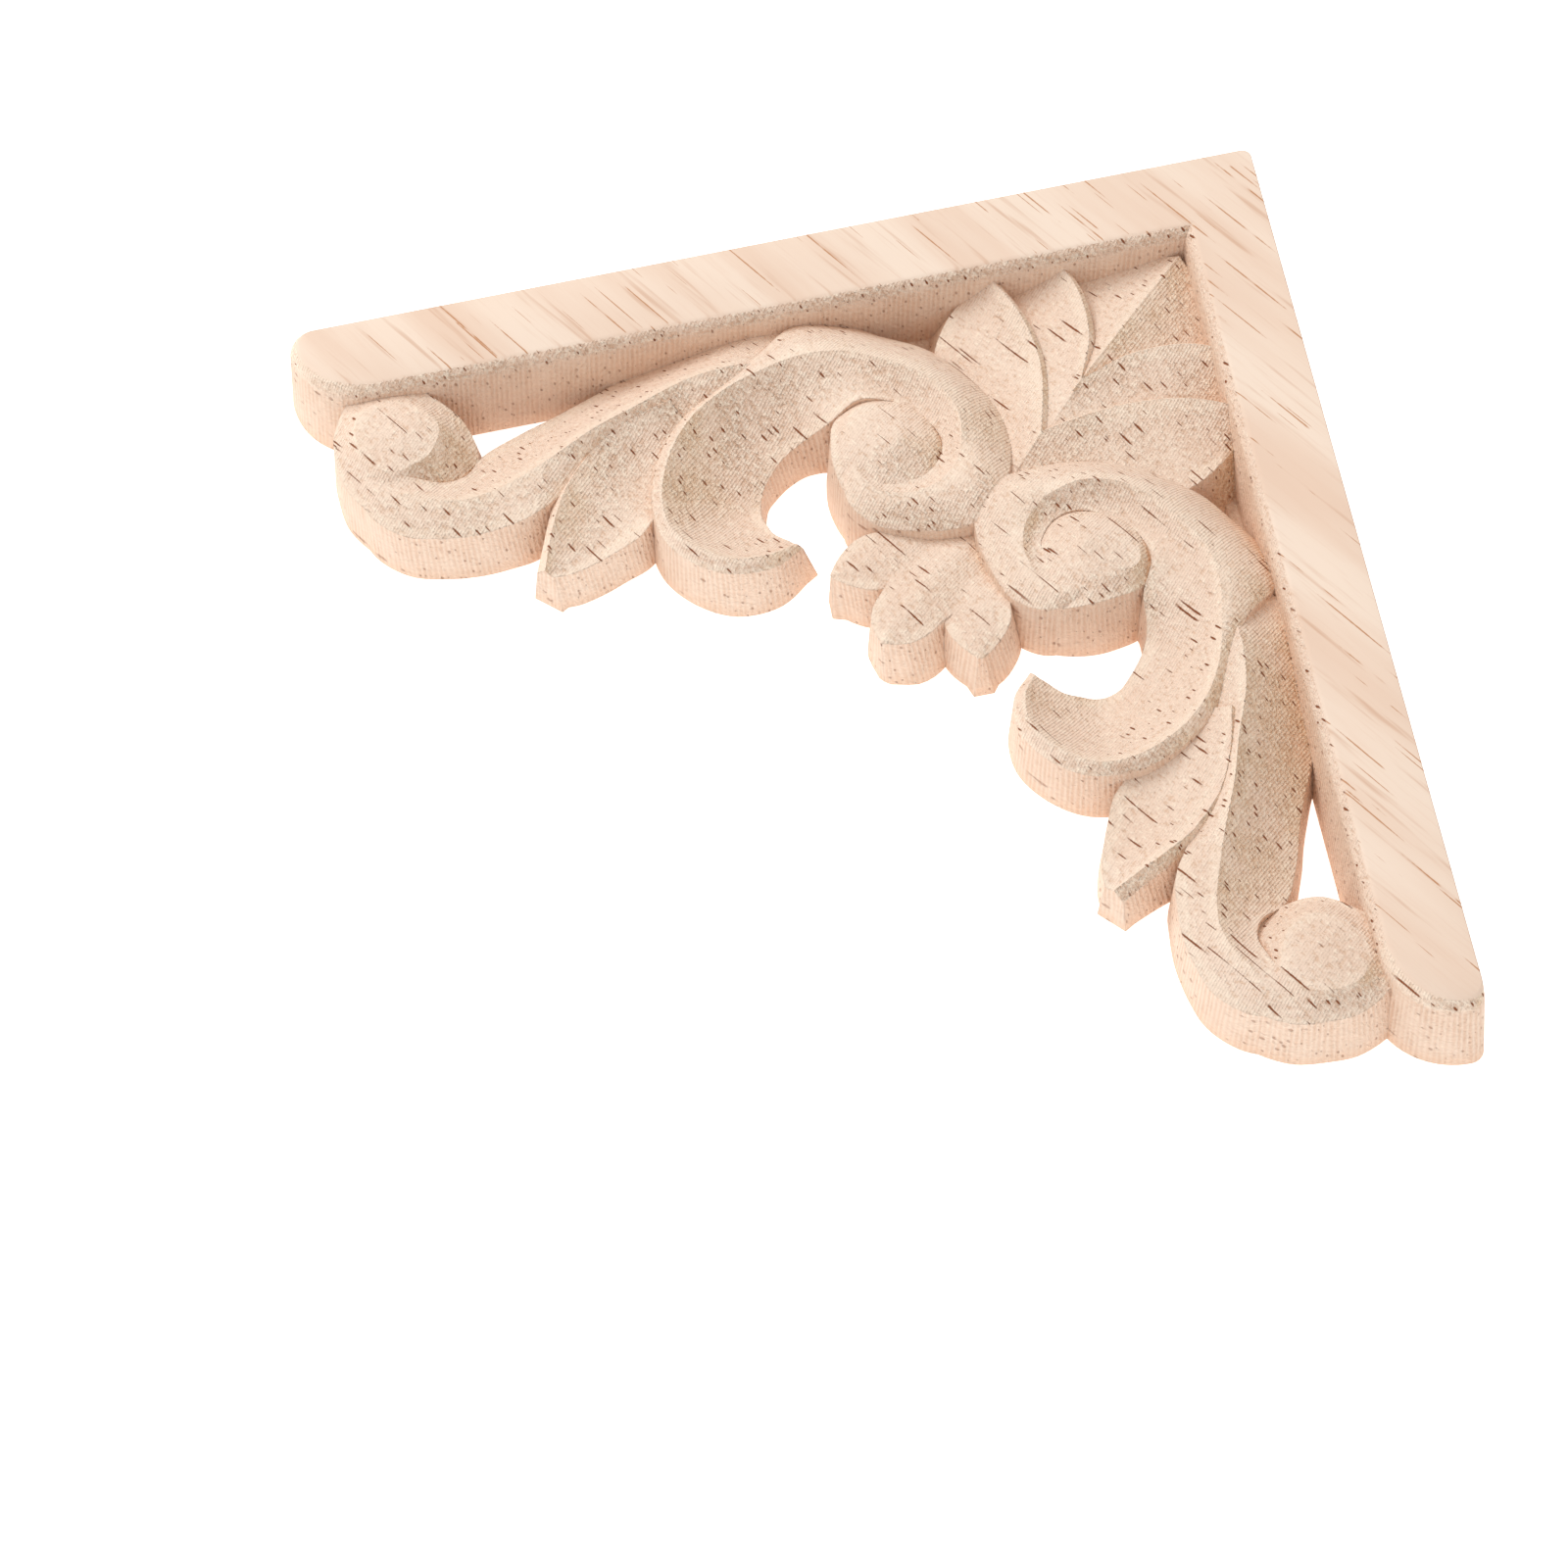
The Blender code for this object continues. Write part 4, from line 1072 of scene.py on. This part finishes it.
def add_light(context, name, power, spot, size, tint):
    """A square soft light at a spot, facing the onlay."""
    light = bpy.data.lights.new(name, "AREA")
    light.shape = "SQUARE"
    light.size = size
    light.energy = power
    light.color = tint
    lamp = bpy.data.objects.new(name, light)
    context.scene.collection.objects.link(lamp)
    back = np.array(spot) / np.linalg.norm(spot)
    right = np.cross(UPWARD, back)
    right /= np.linalg.norm(right)
    set_pose(lamp, right, np.cross(back, right), back, spot)


def add_camera(context):
    """The camera of the photograph."""
    turn, rise, roll = np.radians([CAMERA_AZIMUTH, CAMERA_ELEVATION, CAMERA_ROLL])
    back = np.array((math.sin(turn) * math.cos(rise), -math.cos(turn) * math.cos(rise), math.sin(rise)))
    level = np.cross(-back, UPWARD)
    level /= np.linalg.norm(level)
    upright = np.cross(level, -back)
    right = level * math.cos(roll) + upright * math.sin(roll)
    up = upright * math.cos(roll) - level * math.sin(roll)
    lens = bpy.data.cameras.new("camera")
    lens.lens = CAMERA_LENS
    lens.sensor_width = SENSOR
    lens.clip_start = 0.01
    lens.clip_end = 10.0
    camera = bpy.data.objects.new("camera", lens)
    context.scene.collection.objects.link(camera)
    set_pose(camera, right, up, back, np.array(CAMERA_TARGET) + back * CAMERA_DISTANCE)
    context.scene.camera = camera


class ONLAY_OT_build_stage(bpy.types.Operator):
    """Builds the plain floor, the soft lights and the camera"""

    bl_idname = "onlay.build_stage"
    bl_label = "Stage"

    def execute(self, context):
        stage = context.scene.onlay_stage
        mesh = bpy.data.meshes.new("floor")
        corners = [(-1, -1), (1, -1), (1, 1), (-1, 1)]
        mesh.from_pydata([(x * FLOOR_REACH, y * FLOOR_REACH, 0) for x, y in corners], [], [(0, 1, 2, 3)])
        floor = bpy.data.objects.new("floor", mesh)
        floor.location.z = -FLOOR_GAP
        context.scene.collection.objects.link(floor)
        material = bpy.data.materials.new("plain_floor")
        material.use_nodes = True
        shader = material.node_tree.nodes["Principled BSDF"]
        shader.inputs["Base Color"].default_value = (*stage.floor, 1.0)
        shader.inputs["Roughness"].default_value = 0.9
        shader.inputs["Specular IOR Level"].default_value = 0.0
        shader.inputs["Emission Color"].default_value = (1.0, 1.0, 1.0, 1.0)
        shader.inputs["Emission Strength"].default_value = stage.floor_glow
        mesh.materials.append(material)
        world = bpy.data.worlds.new("surround")
        context.scene.world = world
        world.use_nodes = True
        surround = world.node_tree.nodes["Background"]
        surround.inputs["Color"].default_value = (1.0, 1.0, 1.0, 1.0)
        surround.inputs["Strength"].default_value = stage.sky_strength
        add_light(context, "key_light", stage.key_power, *KEY_LIGHT)
        add_light(context, "fill_light", stage.fill_power, *FILL_LIGHT)
        add_camera(context)
        context.scene.view_settings.view_transform = "Standard"
        return {"FINISHED"}


class ONLAY_PT_panel(bpy.types.Panel):
    """Lists the onlay's operators, sizes and colours"""

    bl_idname = "ONLAY_PT_panel"
    bl_label = "Wooden corner onlay"
    bl_space_type = "VIEW_3D"
    bl_region_type = "UI"
    bl_category = "Onlay"

    def draw(self, context):
        for operator in (ONLAY_OT_build_carving, ONLAY_OT_build_stage):
            self.layout.operator(operator.bl_idname)
        scene = context.scene
        for group in (scene.onlay_sizes, scene.onlay_finish, scene.onlay_stage):
            box = self.layout.box()
            for key in group.__annotations__:
                box.prop(group, key)


CLASSES = (
    OnlaySizes, OnlayFinish, OnlayStage, ONLAY_OT_build_carving, ONLAY_OT_build_stage, ONLAY_PT_panel,
)


def register():
    """Adds the classes and their properties to Blender."""
    for kind in CLASSES:
        bpy.utils.register_class(kind)
    bpy.types.Scene.onlay_sizes = bpy.props.PointerProperty(type=OnlaySizes)
    bpy.types.Scene.onlay_finish = bpy.props.PointerProperty(type=OnlayFinish)
    bpy.types.Scene.onlay_stage = bpy.props.PointerProperty(type=OnlayStage)


def unregister():
    """Takes them out again."""
    del bpy.types.Scene.onlay_sizes
    del bpy.types.Scene.onlay_finish
    del bpy.types.Scene.onlay_stage
    for kind in reversed(CLASSES):
        bpy.utils.unregister_class(kind)


def main():
    """Builds everything in order."""
    register()
    bpy.ops.onlay.build_carving()
    bpy.ops.onlay.build_stage()


if __name__ == "__main__":
    main()
